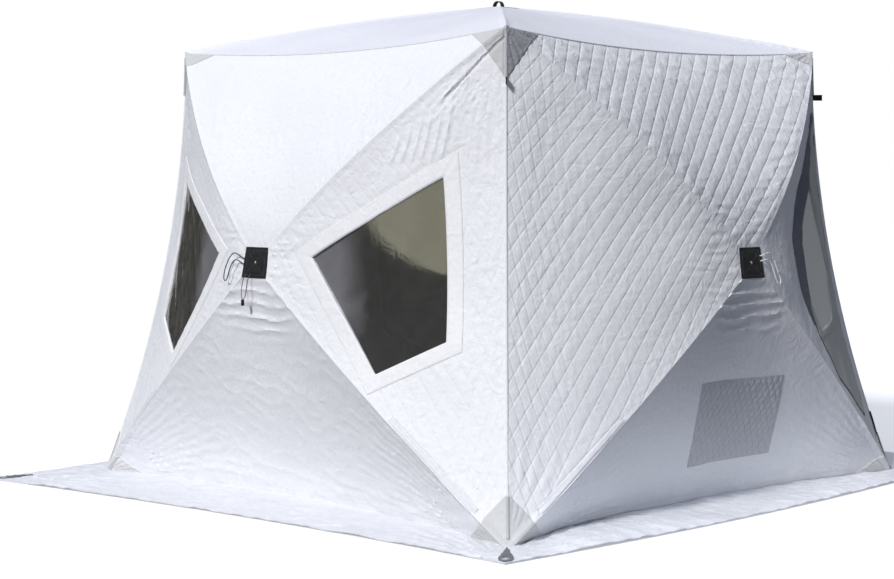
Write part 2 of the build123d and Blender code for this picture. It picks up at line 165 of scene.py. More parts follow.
AZIMUTH, DISTANCE, EYE_HEIGHT = math.radians(43.81), 8.018, 1.275
TURN, TILT = math.radians(45.41), math.radians(-3.39)
camera = bpy.data.objects.new("camera", bpy.data.cameras.new("camera"))
camera.data.lens, camera.data.sensor_width = 73.7, 36
camera.location = (math.sin(AZIMUTH) * DISTANCE, -math.cos(AZIMUTH) * DISTANCE, EYE_HEIGHT)
looking = Vector((-math.sin(TURN) * math.cos(TILT), math.cos(TURN) * math.cos(TILT), math.sin(TILT)))
camera.rotation_euler = looking.to_track_quat("-Z", "Y").to_euler()
scene.collection.objects.link(camera)
scene.camera = camera

# ---------------------------------------------------------------------------------------------
# Pull cords: braided loops sewn through the webbing patch on each wall's hub.  Pulling one
# folds the wall outwards.  The front's lower loop is thin and carries a bead.
# ---------------------------------------------------------------------------------------------
BASE_HALF = 1.220
EAVE_HALF, EAVE_HEIGHT = 0.961, 1.830
HUB_OUT, HUB_HEIGHT = 1.370, 0.959
ROOF_HEIGHT = 2.036
HUB_PATCH, HUB_PATCH_PROUD = 0.134, 0.003
CLOTH, CLOTH_RADIUS = 0.008, 1.100
MIDDLE = np.array([0.0, 0.0, HUB_HEIGHT])
WALLS = {"front": 0, "right": 1, "back": 2, "left": 3}


def turned(points, wall):
    """Points of the front wall, carried round to another wall."""
    quarter = WALLS[wall] * math.pi / 2
    c, s = round(math.cos(quarter)), round(math.sin(quarter))
    p = np.asarray(points, float)
    return np.stack([c * p[..., 0] - s * p[..., 1], s * p[..., 0] + c * p[..., 1], p[..., 2]], -1)


def depth(size):
    """Scale about the hut's middle that brings the cloth in by a size."""
    return 1 - size / CLOTH_RADIUS


def shrunk(points, scale):
    return MIDDLE + (np.asarray(points) - MIDDLE) * scale


HUB = np.array([0.0, -HUB_OUT, HUB_HEIGHT])
ROOF_HUB = np.array([0.0, 0.0, ROOF_HEIGHT])
EAVE = {side: np.array([side * EAVE_HALF, -EAVE_HALF, EAVE_HEIGHT]) for side in (-1, 1)}
FOOT = {side: np.array([side * BASE_HALF, -BASE_HALF, 0.0]) for side in (-1, 1)}


def towards(start, end, distance):
    return start + (end - start) / np.linalg.norm(end - start) * distance


def patch_corners(hub, corners):
    """Corners of a hub's patch on the way to each of its four corners."""
    return [towards(hub, corner, HUB_PATCH / 2 ** 0.5) for corner in corners]


WALL_PATCH = patch_corners(HUB, [EAVE[-1], EAVE[1], FOOT[-1], FOOT[1]])
outer_patch = shrunk(WALL_PATCH, depth(-HUB_PATCH_PROUD))
PATCH_MIDDLE = outer_patch.mean(axis=0)
PATCH_OUT = np.cross(outer_patch[1] - outer_patch[2], outer_patch[0] - outer_patch[2])
PATCH_OUT /= np.linalg.norm(PATCH_OUT)
PATCH_UP = np.cross(PATCH_OUT, [1.0, 0.0, 0.0])


def braid(name, colour, fleck, pitch):
    """Braided cord: crossing strands that run round the curve's own length, with painted shade between the
    strands.
    """
    finish = Finish(name)
    place = finish.node("TexCoord").outputs["UV"]
    turn = finish.node("Mapping", Vector=place, Scale=(pitch, 2.0, 1)).outputs[0]
    strands = finish.wave("DIAGONAL", turn, 0.6)
    back = finish.node("Mapping", Vector=place, Scale=(-pitch, 2.0, 1)).outputs[0]
    others = finish.wave("DIAGONAL", back, 0.6)
    height = finish.maths("MAXIMUM", strands, others)
    flecks = finish.grain(turn, 0.35, Detail=1.0)
    mixed = finish.blend(finish.ramp(flecks, 0.56, 0.60), colour, fleck)
    # painted shade: the colour darkens where the strands dip between each other
    shaded_between_strands = finish.blend(finish.ramp(height, 0.9, 0.3), mixed, times(colour, 0.45))
    surface = finish.node("BsdfPrincipled", Base_Color=shaded_between_strands, Roughness=0.7, Sheen_Weight=0.25,
                          Normal=finish.bump(height, 0.0006))
    return finish.done(surface.outputs[0])


# Points of each loop in millimetres from the middle of the patch: sideways, outwards and up
PULL_LOOP = [
    (-60, 0, 14), (-60, 12, 14), (-78, 20, 24), (-102, 22, 34), (-126, 20, 28), (-146, 18, 6),
    (-160, 16, -22), (-168, 14, -50), (-166, 14, -72), (-152, 14, -80), (-142, 15, -66),
    (-134, 17, -38), (-120, 20, -10), (-100, 21, 8), (-80, 18, 4), (-60, 12, -8), (-60, 0, -8),
]
SHORT_LOOP = [
    (-36, 0, -46), (-36, 10, -46), (-44, 15, -66), (-47, 14, -92), (-48, 12, -118), (-45, 11, -138),
    (-34, 11, -147), (-24, 11, -138), (-20, 12, -118), (-18, 14, -92), (-14, 14, -66),
    (-10, 10, -46), (-10, 0, -46),
]
SIDE_LOOP = [
    (60, 0, 26), (60, 12, 26), (78, 20, 33), (100, 21, 33), (118, 19, 16), (130, 17, -10),
    (142, 15, -38), (156, 13, -64), (158, 13, -84), (144, 13, -93), (130, 14, -78), (118, 16, -50),
    (108, 18, -22), (96, 20, 2), (80, 18, 10), (60, 12, 6), (60, 0, 6),
]
dark_braid = braid("dark_braid", shades(70, 71, 76), shades(120, 121, 124), 60.0)
pale_braid = braid("pale_braid", shades(240, 241, 244), shades(176, 178, 186), 60.0)


ROOT = "root"


def dress(made, slot, *nodes):
    """Hang a piece on the root, and hide the solids that it replaces, if any; slot is not used."""
    if nodes:
        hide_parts(*nodes)
    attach(made, ROOT)
    return made


def pull_cord(name, node, slot, wall, loop, diameter, finish, mirrored):
    """Round cord along a loop, and the place where it leaves the patch."""
    curve = bpy.data.curves.new(name, "CURVE")
    curve.dimensions = "3D"
    curve.resolution_u = 8
    curve.bevel_depth = diameter / 2
    curve.bevel_resolution = 3
    curve.use_fill_caps = True
    line = curve.splines.new("NURBS")
    line.points.add(len(loop) - 1)
    places = []
    for point, (x, out, up) in zip(line.points, loop):
        sideways = np.array([mirrored * x, 0, 0])
        place = PATCH_MIDDLE + sideways / 1000 + PATCH_UP * up / 1000 + PATCH_OUT * out / 1000
        places.append(turned(place, wall))
        point.co = (*places[-1], 1)
    line.order_u = 3
    line.use_endpoint_u = True
    curve.materials.append(finish)
    made = bpy.data.objects.new(name, curve)
    scene.collection.objects.link(made)
    return dress(made, slot, node), Vector(places[0])


CORD, THICK_CORD, TOGGLE_CORD = 0.0045, 0.0060, 0.003
cords = [
    ("front_pull_loop", "front_pull_cord", "dark_cord", "front", PULL_LOOP, CORD, dark_braid, 1, 0.361),
    ("front_bead_loop", "front_toggle_cord", "dark_cord", "front", SHORT_LOOP, TOGGLE_CORD, dark_braid, 1,
     0.225),
    ("right_pull_loop", "right_pull_cord", "pale_cord", "right", SIDE_LOOP, THICK_CORD, pale_braid, 1, 0.352),
    ("back_pull_loop", "back_pull_cord", "dark_cord", "back", PULL_LOOP, CORD, dark_braid, 1, 0.361),
    ("left_pull_loop", "left_pull_cord", "pale_cord", "left", SIDE_LOOP, THICK_CORD, pale_braid, -1, 0.352),
]
for name, node, slot, wall, loop, diameter, finish, mirrored, length in cords:
    made, exit_place = pull_cord(name, node, slot, wall, loop, diameter, finish, mirrored)
    beads = ["cord_toggle"] if name == "front_bead_loop" else []

# ---------------------------------------------------------------------------------------------
# Wall cloth: each wall is four triangles of white coated polyester quilted over thin wadding,
# sewn together along the poles and stretched outwards from the middle of the wall by its hub.
# ---------------------------------------------------------------------------------------------
UPPER_POLE_BOW, LOWER_POLE_BOW, ROOF_POLE_BOW = 0.065, 0.032, 0.022
UPRIGHT_SAG, EAVE_SAG, BASE_SAG = 0.084, 0.040, 0.132


def bowed(start, end, bow):
    """Middle control point of a curve that bows out from its chord."""
    return (start + end) * 0.5 + np.array(bow) * 2


def pole_seam(hub, corner, bow):
    return [towards(hub, corner, HUB_PATCH / 2 ** 0.5), bowed(hub, corner, bow), corner]


def upright_seam(side):
    inwards = np.array([-side, 1.0, 0.0]) / 2 ** 0.5
    return [EAVE[side], bowed(EAVE[side], FOOT[side], inwards * UPRIGHT_SAG), FOOT[side]]


UPPER = {side: pole_seam(HUB, EAVE[side], (0, -UPPER_POLE_BOW, 0)) for side in (-1, 1)}
LOWER = {side: pole_seam(HUB, FOOT[side], (0, -LOWER_POLE_BOW, 0)) for side in (-1, 1)}
ROOF_SEAM = {side: pole_seam(ROOF_HUB, EAVE[side], (0, 0, ROOF_POLE_BOW)) for side in (-1, 1)}
EAVE_SEAM = [EAVE[-1], bowed(EAVE[-1], EAVE[1], (0, EAVE_SAG, -EAVE_SAG)), EAVE[1]]
BASE_SEAM = [FOOT[-1], bowed(FOOT[-1], FOOT[1], (0, BASE_SAG, 0)), FOOT[1]]


def panel_net(a, b, rim):
    """Control points of a triangular panel between two pole seams and the rim opposite its hub."""
    inner = (a[0] + b[0]) * 0.5
    centre = (a[1] + b[1]) * 0.5 + (inner + rim[1]) * 0.5 - (a[0] + b[0] + a[2] + b[2]) * 0.25
    return np.array([[a[0], inner, b[0]], [a[1], centre, b[1]], [a[2], rim[1], b[2]]])


PANELS = {
    "top": panel_net(UPPER[-1], UPPER[1], EAVE_SEAM),
    "bottom": panel_net(LOWER[-1], LOWER[1], BASE_SEAM),
    -1: panel_net(UPPER[-1], LOWER[-1], upright_seam(-1)),
    1: panel_net(UPPER[1], LOWER[1], upright_seam(1)),
    "roof": panel_net(ROOF_SEAM[-1], ROOF_SEAM[1], EAVE_SEAM),
}
FLAT = {"roof": (0, 1)}         # wall panels lie flat on X and Z, a roof panel on X and Y


def weights(t):
    """Shares of a quadratic curve's three control points."""
    return np.stack([(1 - t) ** 2, 2 * t * (1 - t), t ** 2], -1)


def slopes(t):
    return np.stack([2 * t - 2, 2 - 4 * t, 2 * t], -1)


def surface(net, u, v):
    return np.einsum("ni,nj,ijk->nk", weights(u), weights(v), net)


def shares(panel, flat_points):
    """Where flat points lie on a panel: share of the way to its rim, and from seam to seam."""
    plan = PANELS[panel][:, :, FLAT.get(panel, (0, 2))]
    u, v = np.full(len(flat_points), 0.5), np.full(len(flat_points), 0.5)
    for _ in range(24):
        miss = surface(plan, u, v) - flat_points
        du = np.einsum("ni,nj,ijk->nk", slopes(u), weights(v), plan)
        dv = np.einsum("ni,nj,ijk->nk", weights(u), slopes(v), plan)
        det = du[:, 0] * dv[:, 1] - du[:, 1] * dv[:, 0]
        u = np.clip(u - np.clip((miss[:, 0] * dv[:, 1] - miss[:, 1] * dv[:, 0]) / det, -0.3, 0.3), -0.3, 1.3)
        v = np.clip(v - np.clip((miss[:, 1] * du[:, 0] - miss[:, 0] * du[:, 1]) / det, -0.3, 0.3), -0.3, 1.3)
    return u, v


def raised(points, height):
    """Points moved straight out from the middle of the hut by a height."""
    away = points - MIDDLE
    reach = np.linalg.norm(away, axis=-1, keepdims=True)
    moved = MIDDLE + away * (1 + np.asarray(height)[..., None] / reach)
    moved[..., 2] = np.maximum(moved[..., 2], 0)
    return moved


def on_panel(panel, flat_points, height=0.0):
    """Places over flat points, on a panel's smooth shape or at a height over it."""
    flat_points = np.asarray(flat_points, float)
    u, v = shares(panel, flat_points)
    return raised(surface(PANELS[panel], u, v), np.zeros(len(u)) + height)


def curve_points(seam, count):
    return weights(np.linspace(0, 1, count)) @ np.array(seam)


def seam_count(seam, step):
    line = curve_points(seam, 40)
    return int(math.ceil(np.linalg.norm(np.diff(line, axis=0), axis=1).sum() / step)) + 1


def ring_area(ring):
    """Area of a flat ring, negative where it runs clockwise."""
    x, y = np.asarray(ring).T
    return 0.5 * float(np.sum(x * np.roll(y, -1) - y * np.roll(x, -1)))


EDGE_STEP = 0.012


def panel_ring(panel):
    """Outline of a panel, counter-clockwise as seen from outside."""
    net = PANELS[panel]
    sides = [net[0, ::-1], net[:, 0], net[2], net[::-1, 2]]
    line = np.concatenate([curve_points(s, seam_count(s, EDGE_STEP))[:-1] for s in sides])
    flat = line[:, FLAT.get(panel, (0, 2))]
    return flat if ring_area(flat) > 0 else flat[::-1]


def gap_to(points, line):
    """Distance from each point to the nearest of a line's points, and that point's number."""
    gaps, nearest = [], []
    for start in range(0, len(points), 4000):
        block = points[start:start + 4000, None, :] - line[None, :, :]
        square = (block ** 2).sum(axis=2)
        nearest.append(square.argmin(axis=1))
        gaps.append(square.min(axis=1) ** 0.5)
    return np.concatenate(gaps), np.concatenate(nearest)


def inside(points, ring):
    x, y = points[:, 0], points[:, 1]
    within = np.zeros(len(points), bool)
    for (ax, ay), (bx, by) in zip(ring, np.roll(ring, -1, axis=0)):
        crosses = (ay > y) != (by > y)
        if ay != by:
            within ^= crosses & (x < (bx - ax) * (y - ay) / (by - ay) + ax)
    return within


def even_rows(ring, step, angle=0.0, offsets=(0.0, 0.5), pitch=None):
    """Rows of points over a ring's box, turned by an angle, at offsets within each pitch."""
    pitch = pitch or step * 0.866 * 2
    turn = np.array([[math.cos(angle), math.sin(angle)], [-math.sin(angle), math.cos(angle)]])
    around = ring @ turn.T
    low, high = around.min(axis=0), around.max(axis=0)
    rows = []
    for number in range(int(math.floor(low[1] / pitch)) - 1, int(math.ceil(high[1] / pitch)) + 1):
        for place, offset in enumerate(offsets):
            x = np.arange(low[0], high[0], step) + (step / 2 if (number * len(offsets) + place) % 2 else 0)
            rows.append(np.stack([x, np.full(len(x), (number + offset) * pitch)], -1))
    return np.concatenate(rows) @ turn


def triangles(rings, points, margin):
    """Triangles of the area inside the first ring and outside the others, with even points in it."""
    edges, start = [], 0
    for ring in rings:
        count = len(ring)
        edges += [(start + i, start + (i + 1) % count) for i in range(count)]
        start += count
    border = np.concatenate(rings)
    keep = inside(points, rings[0])
    for hole in rings[1:]:
        keep &= ~inside(points, hole)
    points = points[keep]
    points = points[gap_to(points, border)[0] > margin]
    everything = np.concatenate([border, points])
    made = delaunay_2d_cdt([Vector(p) for p in everything.tolist()], edges, [], 1, 1e-7)
    faces = np.array([f for f in made[2] if len(f) == 3])
    places = np.array([tuple(v) for v in made[0]])
    start = len(rings[0])
    for hole in rings[1:]:
        in_hole = (faces >= start) & (faces < start + len(hole))
        faces = faces[~in_hole.all(axis=1)]
        start += len(hole)
    a, b, c = places[faces[:, 0]], places[faces[:, 1]], places[faces[:, 2]]
    turn = (b[:, 0] - a[:, 0]) * (c[:, 1] - a[:, 1]) - (b[:, 1] - a[:, 1]) * (c[:, 0] - a[:, 0])
    faces[turn < 0] = faces[turn < 0][:, ::-1]
    return places, faces


def built(name, verts, faces, cuts, material, sharp, mend=True):
    """Smooth-shaded mesh whose UVs are its vertices' places on the flat cloth; mend turns its faces out."""
    mesh = bpy.data.meshes.new(name)
    mesh.from_pydata(verts.tolist(), [], faces)
    if mend:
        bm = bmesh.new()
        bm.from_mesh(mesh)
        bmesh.ops.recalc_face_normals(bm, faces=bm.faces)
        bm.to_mesh(mesh)
        bm.free()
    mesh.polygons.foreach_set("use_smooth", np.ones(len(mesh.polygons), bool))
    layer = mesh.uv_layers.new(name="cut")
    loops = np.zeros(len(mesh.loops), int)
    mesh.loops.foreach_get("vertex_index", loops)
    layer.data.foreach_set("uv", np.asarray(cuts, float).reshape(-1, 2)[loops].ravel())
    mesh.set_sharp_from_angle(angle=math.radians(sharp))
    mesh.materials.append(material)
    made = bpy.data.objects.new(name, mesh)
    scene.collection.objects.link(made)
    return made


def sheet_mesh(name, rings, points, outer, inner, material, wall, margin=0.006, alike=False):
    """Closed piece of cloth: an outer face on even points, a plainer inner face, and its edges."""
    top, top_faces = triangles(rings, points, margin)
    low, low_faces = (top, top_faces) if alike else triangles(rings, even_rows(rings[0], 0.034), 0.02)
    first = len(top)
    verts = np.concatenate([outer(top), inner(low)])
    faces = top_faces.tolist() + (low_faces[:, ::-1] + first).tolist()
    start = 0
    for ring in rings:
        count = len(ring)
        cloth_on_left = (ring_area(ring) > 0) == (start == 0)
        for i in range(count):
            a, b = start + i, start + (i + 1) % count
            face = (b, a, first + a, first + b)
            faces.append(face if cloth_on_left else face[::-1])
        start += count
    return built(name, turned(verts, wall), faces, np.concatenate([top, low]), material, 40, mend=False)


def ripple(points, size, seed):
    """Smooth seeded noise from about -1 to 1; size is a length, or one for each axis."""
    scaled = points / np.asarray(size) + np.array([seed * 7.31, seed * 3.17, seed * 5.93])
    return np.array([noise.noise(Vector(p)) for p in scaled.tolist()]) * 1.6


def crease(values, width):
    """Narrow ridges, 1 high, where the values pass through nought."""
    return np.exp(-(values / width) ** 2)


def step_up(values, low, high):
    """Smooth step from 0 at low to 1 at high."""
    t = np.clip((values - low) / (high - low), 0, 1)
    return t * t * (3 - 2 * t)


def lines_across(points, angle, pitch):
    """Distance across a family of parallel lines at an angle to the horizontal, in pitches."""
    return (-points[:, 0] * math.sin(angle) + points[:, 1] * math.cos(angle)) / pitch


def puffed(points, angle, pitch, other_angle, other_pitch, other_share, crisp):
    """Quilting: wadding that stands up between two families of stitched lines, 0 to 1."""
    main = np.abs(np.sin(math.pi * lines_across(points, angle, pitch))) ** crisp
    other = np.abs(np.sin(math.pi * lines_across(points, other_angle, other_pitch))) ** crisp
    return main * (1 - other_share + other_share * other)


def fan(points, centre, start, end, count, reach, seed):
    """Creases that run out from a corner between two angles, 0 to 1, fading with distance."""
    away = points - np.asarray(centre)
    length = np.linalg.norm(away, axis=1)
    angle = np.arctan2(away[:, 1], away[:, 0])
    share = (angle - start) / (end - start)
    wander = 0.35 * ripple(np.stack([length * 6, angle * 3, length * 0 + seed], -1), 1.0, seed)
    wave = np.abs(np.sin(math.pi * (share * count + wander)))
    fade = step_up(length, 0.02, 0.10) * (1 - step_up(length, reach * 0.35, reach))
    return (1 - wave ** 0.7) * fade * step_up(share, -0.05, 0.1) * (1 - step_up(share, 0.9, 1.05))


def cloth(name, colour, roughness=0.55, quilting=(), crumple=1.0, thread=shades(205, 206, 212),
          by_upright=None):
    """Coated polyester: fine weave, small crumples with painted shade in their hollows, soft shade changes,
    and stitched quilting lines.
    """
    finish = Finish(name)
    coordinates = finish.node("TexCoord")
    cut, place = coordinates.outputs["UV"], coordinates.outputs["Object"]
    across = finish.wave("X", cut, 170.0)
    along = finish.wave("Y", cut, 170.0)
    weave = finish.bump(finish.maths("ADD", across, along), 0.00005)
    fine = finish.grain(place, 75.0, Detail=3.0, Distortion=0.6)
    puckers = finish.bump(fine, 0.0011 * crumple, weave)
    folds = finish.grain(place, 16.0, Detail=4.0, Distortion=1.4)
    normal = finish.bump(folds, 0.0042 * crumple, puckers)
    patchy = finish.grain(place, 2.2, Detail=4.0)
    mottled = finish.blend(finish.ramp(patchy, 0.35, 0.65), colour, times(colour, 0.955))
    # painted shade: a little darker in the hollows of the fine puckers, following the noise of their bump
    pucker_shaded = finish.blend(finish.ramp(fine, 0.30, 0.62), times(colour, 0.93), mottled)
    height = finish.node("SeparateXYZ", Vector=place).outputs[2]
    splashes = finish.grain(place, 9.0, Detail=5.0)
    low_down = finish.maths("SUBTRACT", splashes, finish.maths("MULTIPLY", height, 3.2))
    soiled = finish.blend(finish.maths("MULTIPLY", finish.ramp(low_down, 0.30, 0.62), 0.16),
                          pucker_shaded, times(colour, 0.74))
    shade = soiled
    if quilting:
        parts = finish.node("SeparateXYZ", Vector=cut)
        for number, (angle, pitch, strength) in enumerate(quilting):
            if by_upright == number:                # these lines only show beside the upright
                leaning = finish.maths("MULTIPLY", parts.outputs[1], (BASE_HALF - EAVE_HALF) / EAVE_HEIGHT)
                from_middle = finish.maths("ADD", finish.maths("ABSOLUTE", parts.outputs[0]), leaning)
                beside = finish.ramp(from_middle, 0.88, 1.12)
                strength = finish.maths("MULTIPLY", beside, strength)
            sideways = finish.maths("MULTIPLY", parts.outputs[0], -math.sin(angle) / pitch)
            upwards = finish.maths("MULTIPLY", parts.outputs[1], math.cos(angle) / pitch)
            turns = finish.maths("ADD", sideways, upwards)
            off_line = finish.maths("ABSOLUTE", finish.maths("SUBTRACT", finish.maths(
                "FRACT", finish.maths("ADD", turns, 0.5)), 0.5))
            line = finish.ramp(off_line, 0.0010 / pitch, 0.0004 / pitch)
            run = finish.maths("ADD", finish.maths("MULTIPLY", parts.outputs[0], math.cos(angle) / 0.005),
                               finish.maths("MULTIPLY", parts.outputs[1], math.sin(angle) / 0.005))
            dash = finish.ramp(finish.maths("PINGPONG", run, 0.5), 0.10, 0.16)
            stitched = finish.maths("MULTIPLY", finish.maths("MULTIPLY", line, dash), strength)
            crease_line = finish.maths("MULTIPLY", finish.ramp(off_line, 0.0046 / pitch, 0.0), strength)
            shade = finish.blend(stitched, shade, thread)
            normal = finish.bump(stitched, 0.0004, normal)
            normal = finish.bump(finish.maths("SUBTRACT", 1.0, crease_line), 0.0015, normal)
    surface = finish.node("BsdfPrincipled", Base_Color=shade, Roughness=roughness, Normal=normal,
                          Sheen_Weight=0.12, Sheen_Roughness=0.4, Specular_IOR_Level=0.38)
    return finish.done(surface.outputs[0])


STRIPE_ANGLE, STRIPE_PITCH = math.radians(37), 0.0486
DIAMOND_ANGLE, DIAMOND_PITCH = math.radians(51.5), 0.0460
STEEP_ANGLE, STEEP_PITCH = math.radians(95), 0.0335
WHITE = shades(238, 239, 243)
SOFT_LINES = 0.4                # how strongly the quilting's lines show on the front and back walls
stripe_cloth = cloth("stripe_quilted_cloth", WHITE, crumple=1.35,
                     quilting=[(STRIPE_ANGLE, STRIPE_PITCH, 1.0)])
diamond_cloth = {}
for side, strength, label in ((-1, 1.0, "left"), (1, 1.0, "right"), (-1, SOFT_LINES, "soft_left"),
                              (1, SOFT_LINES, "soft_right")):
    diamond_cloth[side, strength] = cloth(
        f"diamond_quilted_cloth_{label}", WHITE, by_upright=1,
        quilting=[(-side * DIAMOND_ANGLE, DIAMOND_PITCH, 0.72 * strength),
                  (-side * STEEP_ANGLE, STEEP_PITCH, 0.75 * strength)])
plain_cloth = cloth("plain_wall_cloth", WHITE)

# Windows and doors, as shares of the way from the hub to the eave corner and to the foot
WINDOW = [(0.580, 0.182), (0.156, 0.111), (0.058, 0.463), (0.252, 0.507)]
DOOR = [(0.822, 0.078), (0.348, 0.117), (0.255, 0.157), (0.157, 0.256), (0.104, 0.317), (0.063, 0.400),
        (0.027, 0.556), (0.048, 0.819)]
BINDING, DOOR_RADIUS = 0.056, 0.060
DOOR_SIDE = {"right": 1, "left": -1}
HUB_FLAT = HUB[[0, 2]]
EAVE_FLAT = {side: EAVE[side][[0, 2]] for side in (-1, 1)}
FOOT_FLAT = {side: FOOT[side][[0, 2]] for side in (-1, 1)}


def panel_places(corner_shares, side):
    """Flat corners of an opening in a side panel, counter-clockwise from outside."""
    to_eave, to_foot = EAVE_FLAT[side] - HUB_FLAT, FOOT_FLAT[side] - HUB_FLAT
    ring = np.array([HUB_FLAT + s * to_eave + t * to_foot for s, t in corner_shares])
    return ring if ring_area(ring) > 0 else ring[::-1]


def unit(vectors):
    """Rows of vectors, made 1 long."""
    return vectors / np.linalg.norm(vectors, axis=1, keepdims=True)


def mitred(ring, distance):
    """A ring with straight sides moved outwards by a distance, its corners kept sharp."""
    before, after = np.roll(ring, 1, axis=0), np.roll(ring, -1, axis=0)
    into, out = unit(ring - before), unit(after - ring)
    first = np.stack([into[:, 1], -into[:, 0]], -1)
    second = np.stack([out[:, 1], -out[:, 0]], -1)
    middle = first + second
    return ring + middle * (distance / (first * middle).sum(axis=1))[:, None]


def run_of(line):
    """Length along a line at each of its points."""
    return np.concatenate([[0], np.cumsum(np.linalg.norm(np.diff(line, axis=0), axis=1))])


def points_at(line, lengths):
    """Points at given lengths along a line."""
    run = run_of(line)
    return np.stack([np.interp(lengths, run, line[:, k]) for k in range(line.shape[1])], -1)


def evened(ring, step):
    """A ring as evenly spaced points, counter-clockwise."""
    closed = np.concatenate([ring, ring[:1]])
    length = run_of(closed)[-1]
    ring = points_at(closed, np.linspace(0, length, int(length / step) + 1)[:-1])
    return ring if ring_area(ring) > 0 else ring[::-1]


def rounded(ring, radius, step):
    """A ring with straight sides, its corners rounded, as evenly spaced points."""
    line = []
    for before, corner, after in zip(np.roll(ring, 1, axis=0), ring, np.roll(ring, -1, axis=0)):
        a, b = before - corner, after - corner
        a, b = a / np.linalg.norm(a), b / np.linalg.norm(b)
        half = math.acos(float(np.clip(a @ b, -1, 1))) / 2
        back = min(radius / math.tan(half), 0.3)
        start, end = corner + a * back, corner + b * back
        for t in np.linspace(0, 1, max(3, int(radius * (math.pi - 2 * half) / step) + 2)):
            line.append(start * (1 - t) ** 2 + corner * 2 * t * (1 - t) + end * t ** 2)
    return evened(np.array(line), step)


def hole(outline):
    """The hole that is cut for a film: its outline and a little more."""
    return rounded(mitred(outline, 0.004), 0.006, 0.010)


WINDOWS = {side: panel_places(WINDOW, side) for side in (-1, 1)}
DOORS = {side: panel_places(DOOR, side) for side in (-1, 1)}


def seam_ridge(panel, points, puckered):
    """How far the poles under a panel's two seams push its cloth out, and the puckers beside them."""
    net = PANELS[panel]
    height = np.zeros(len(points))
    for seam in (net[:, 0], net[:, 2]):
        line = curve_points(seam, 400)[:, FLAT.get(panel, (0, 2))]
        gap, number = gap_to(points, line)
        share = number / 399
        to_ground = step_up(share, 0.66, 0.90) * (line[-1, 1] < 0.5)
        strength = 0.0022 + 0.0030 * step_up(share, 0.70, 0.9) + 0.0065 * to_ground
        height += strength * np.clip(1 - (gap / 0.014) ** 2, 0, None) ** 0.5
        height -= 0.0022 * np.exp(-((gap - 0.0165) / 0.0028) ** 2) * (0.4 + 0.6 * to_ground)
        if puckered:
            places = np.stack([share * 1.3 / 0.013, gap / 0.11, share * 0 + 2.0], -1)
            short = np.maximum(0, ripple(places, 1.0, 23)) * step_up(gap, 0.012, 0.020)
            height += puckered * short * (1 - step_up(gap, 0.035, 0.085))
    return height


# A loose lap that runs from the eave corner down the side panel, from outside: right, left
LAP = np.array([(0.962, 1.806), (0.950, 1.790), (0.887, 1.722), (0.819, 1.632), (0.770, 1.578),
                (0.756, 1.530), (0.744, 1.470), (0.738, 1.420), (0.736, 1.370)])
LAP_WALLS = {("front", 1), ("back", 1)}


def hanging_line(x):
    """A thin fold's line from the pole, at x, down beside the window, bowed a little."""
    bow = 0.006 * np.sin(np.linspace(0, math.pi, 120))
    return np.stack([np.linspace(x, x - 0.036, 120) + bow, np.linspace(0.896 + 0.906 * x, 1.335, 120)], -1)


HANGING = [hanging_line(x) for x in (0.800, 0.766, 0.730, 0.697, 0.661, 0.622)]


def lap_height(points):
    """Cloth that stands up along a lap and falls away sharply below it."""
    run, fine = np.linspace(0, 1, len(LAP)), np.linspace(0, 1, 240)
    line = np.stack([np.interp(fine, run, LAP[:, k]) for k in (0, 1)], -1)
    smooth = [np.convolve(np.pad(line[:, k], 3, mode="edge"), np.ones(7) / 7, "valid") for k in (0, 1)]
    line = np.stack(smooth, -1)
    gap, number = gap_to(points, line)
    ahead = np.gradient(line, axis=0)[number]
    away = points - line[number]
    below = np.where(ahead[:, 0] * away[:, 1] - ahead[:, 1] * away[:, 0] > 0, gap, -gap)
    share = number / 239
    fade = step_up(share, 0.0, 0.04) * (1 - 0.72 * step_up(share, 0.46, 0.54)) \
        * (1 - step_up(share, 0.80, 1.0))
    lip = 0.0065 * np.exp(-np.clip(-below - 0.001, 0, None) / 0.030) * (below < -0.001)
    dip = -0.0050 * np.exp(-((below - 0.004) / 0.0045) ** 2)
    return (lip + dip) * np.clip(fade, 0, 1)


def hanging_height(points):
    """Thin folds that hang from the pole towards the window, sharper on one side."""
    height = np.zeros(len(points))
    for line in HANGING:
        gap, number = gap_to(points, line)
        side = np.sign(points[:, 0] - line[number, 0])
        share = number / (len(line) - 1)
        ends = step_up(share, 0.0, 0.40) * (1 - step_up(share, 0.80, 1.0))
        height += 0.0042 * np.exp(-(gap / np.where(side > 0, 0.0050, 0.0120)) ** 1.6) * ends
    return height


def lap_points():
    """Extra points beside the lap and the folds under it, so that their edges are crisp."""
    rows = []
    for path, offsets in [(LAP, (-0.014, -0.009, -0.005, -0.002, 0.0005, 0.003, 0.006, 0.010))] \
            + [(path, (-0.0075, -0.0035, 0.0, 0.0032, 0.0070)) for path in HANGING]:
        ahead = np.gradient(path, axis=0)
        sideways = unit(np.stack([ahead[:, 1], -ahead[:, 0]], -1))
        for offset in offsets:
            line = path + sideways * offset
            row = points_at(line, np.arange(0.012, run_of(line)[-1], 0.006))
            if rows:
                row = row[gap_to(row, np.concatenate(rows))[0] > 0.0022]
            if len(row):
                rows.append(row)
    return np.concatenate(rows)


class Spots:
    """Flat points on a wall's panel, how they lie to its seams and hub, and their height over its shape."""

    def __init__(self, panel, wall, points):
        self.panel, self.wall, self.points = panel, wall, points
        self.x, self.z = points.T
        self.world = turned(on_panel(panel, points), wall)
        self.seed = WALLS[wall] * 5 + (3 if panel == "roof" else 1)
        self.edge = gap_to(points, panel_ring(panel))[0]
        self.off_seam = step_up(self.edge, 0.0, 0.030)
        self.from_hub = self.away(HUB_FLAT)
        self.side_wall = wall in DOOR_SIDE
        self.height = 0.006 * self.noise(0.32) * step_up(self.edge, 0.0, 0.15)

    def noise(self, size, seed=0):
        return ripple(self.world, size, self.seed + seed)

    def away(self, place):
        return np.linalg.norm(self.points - place, axis=1)


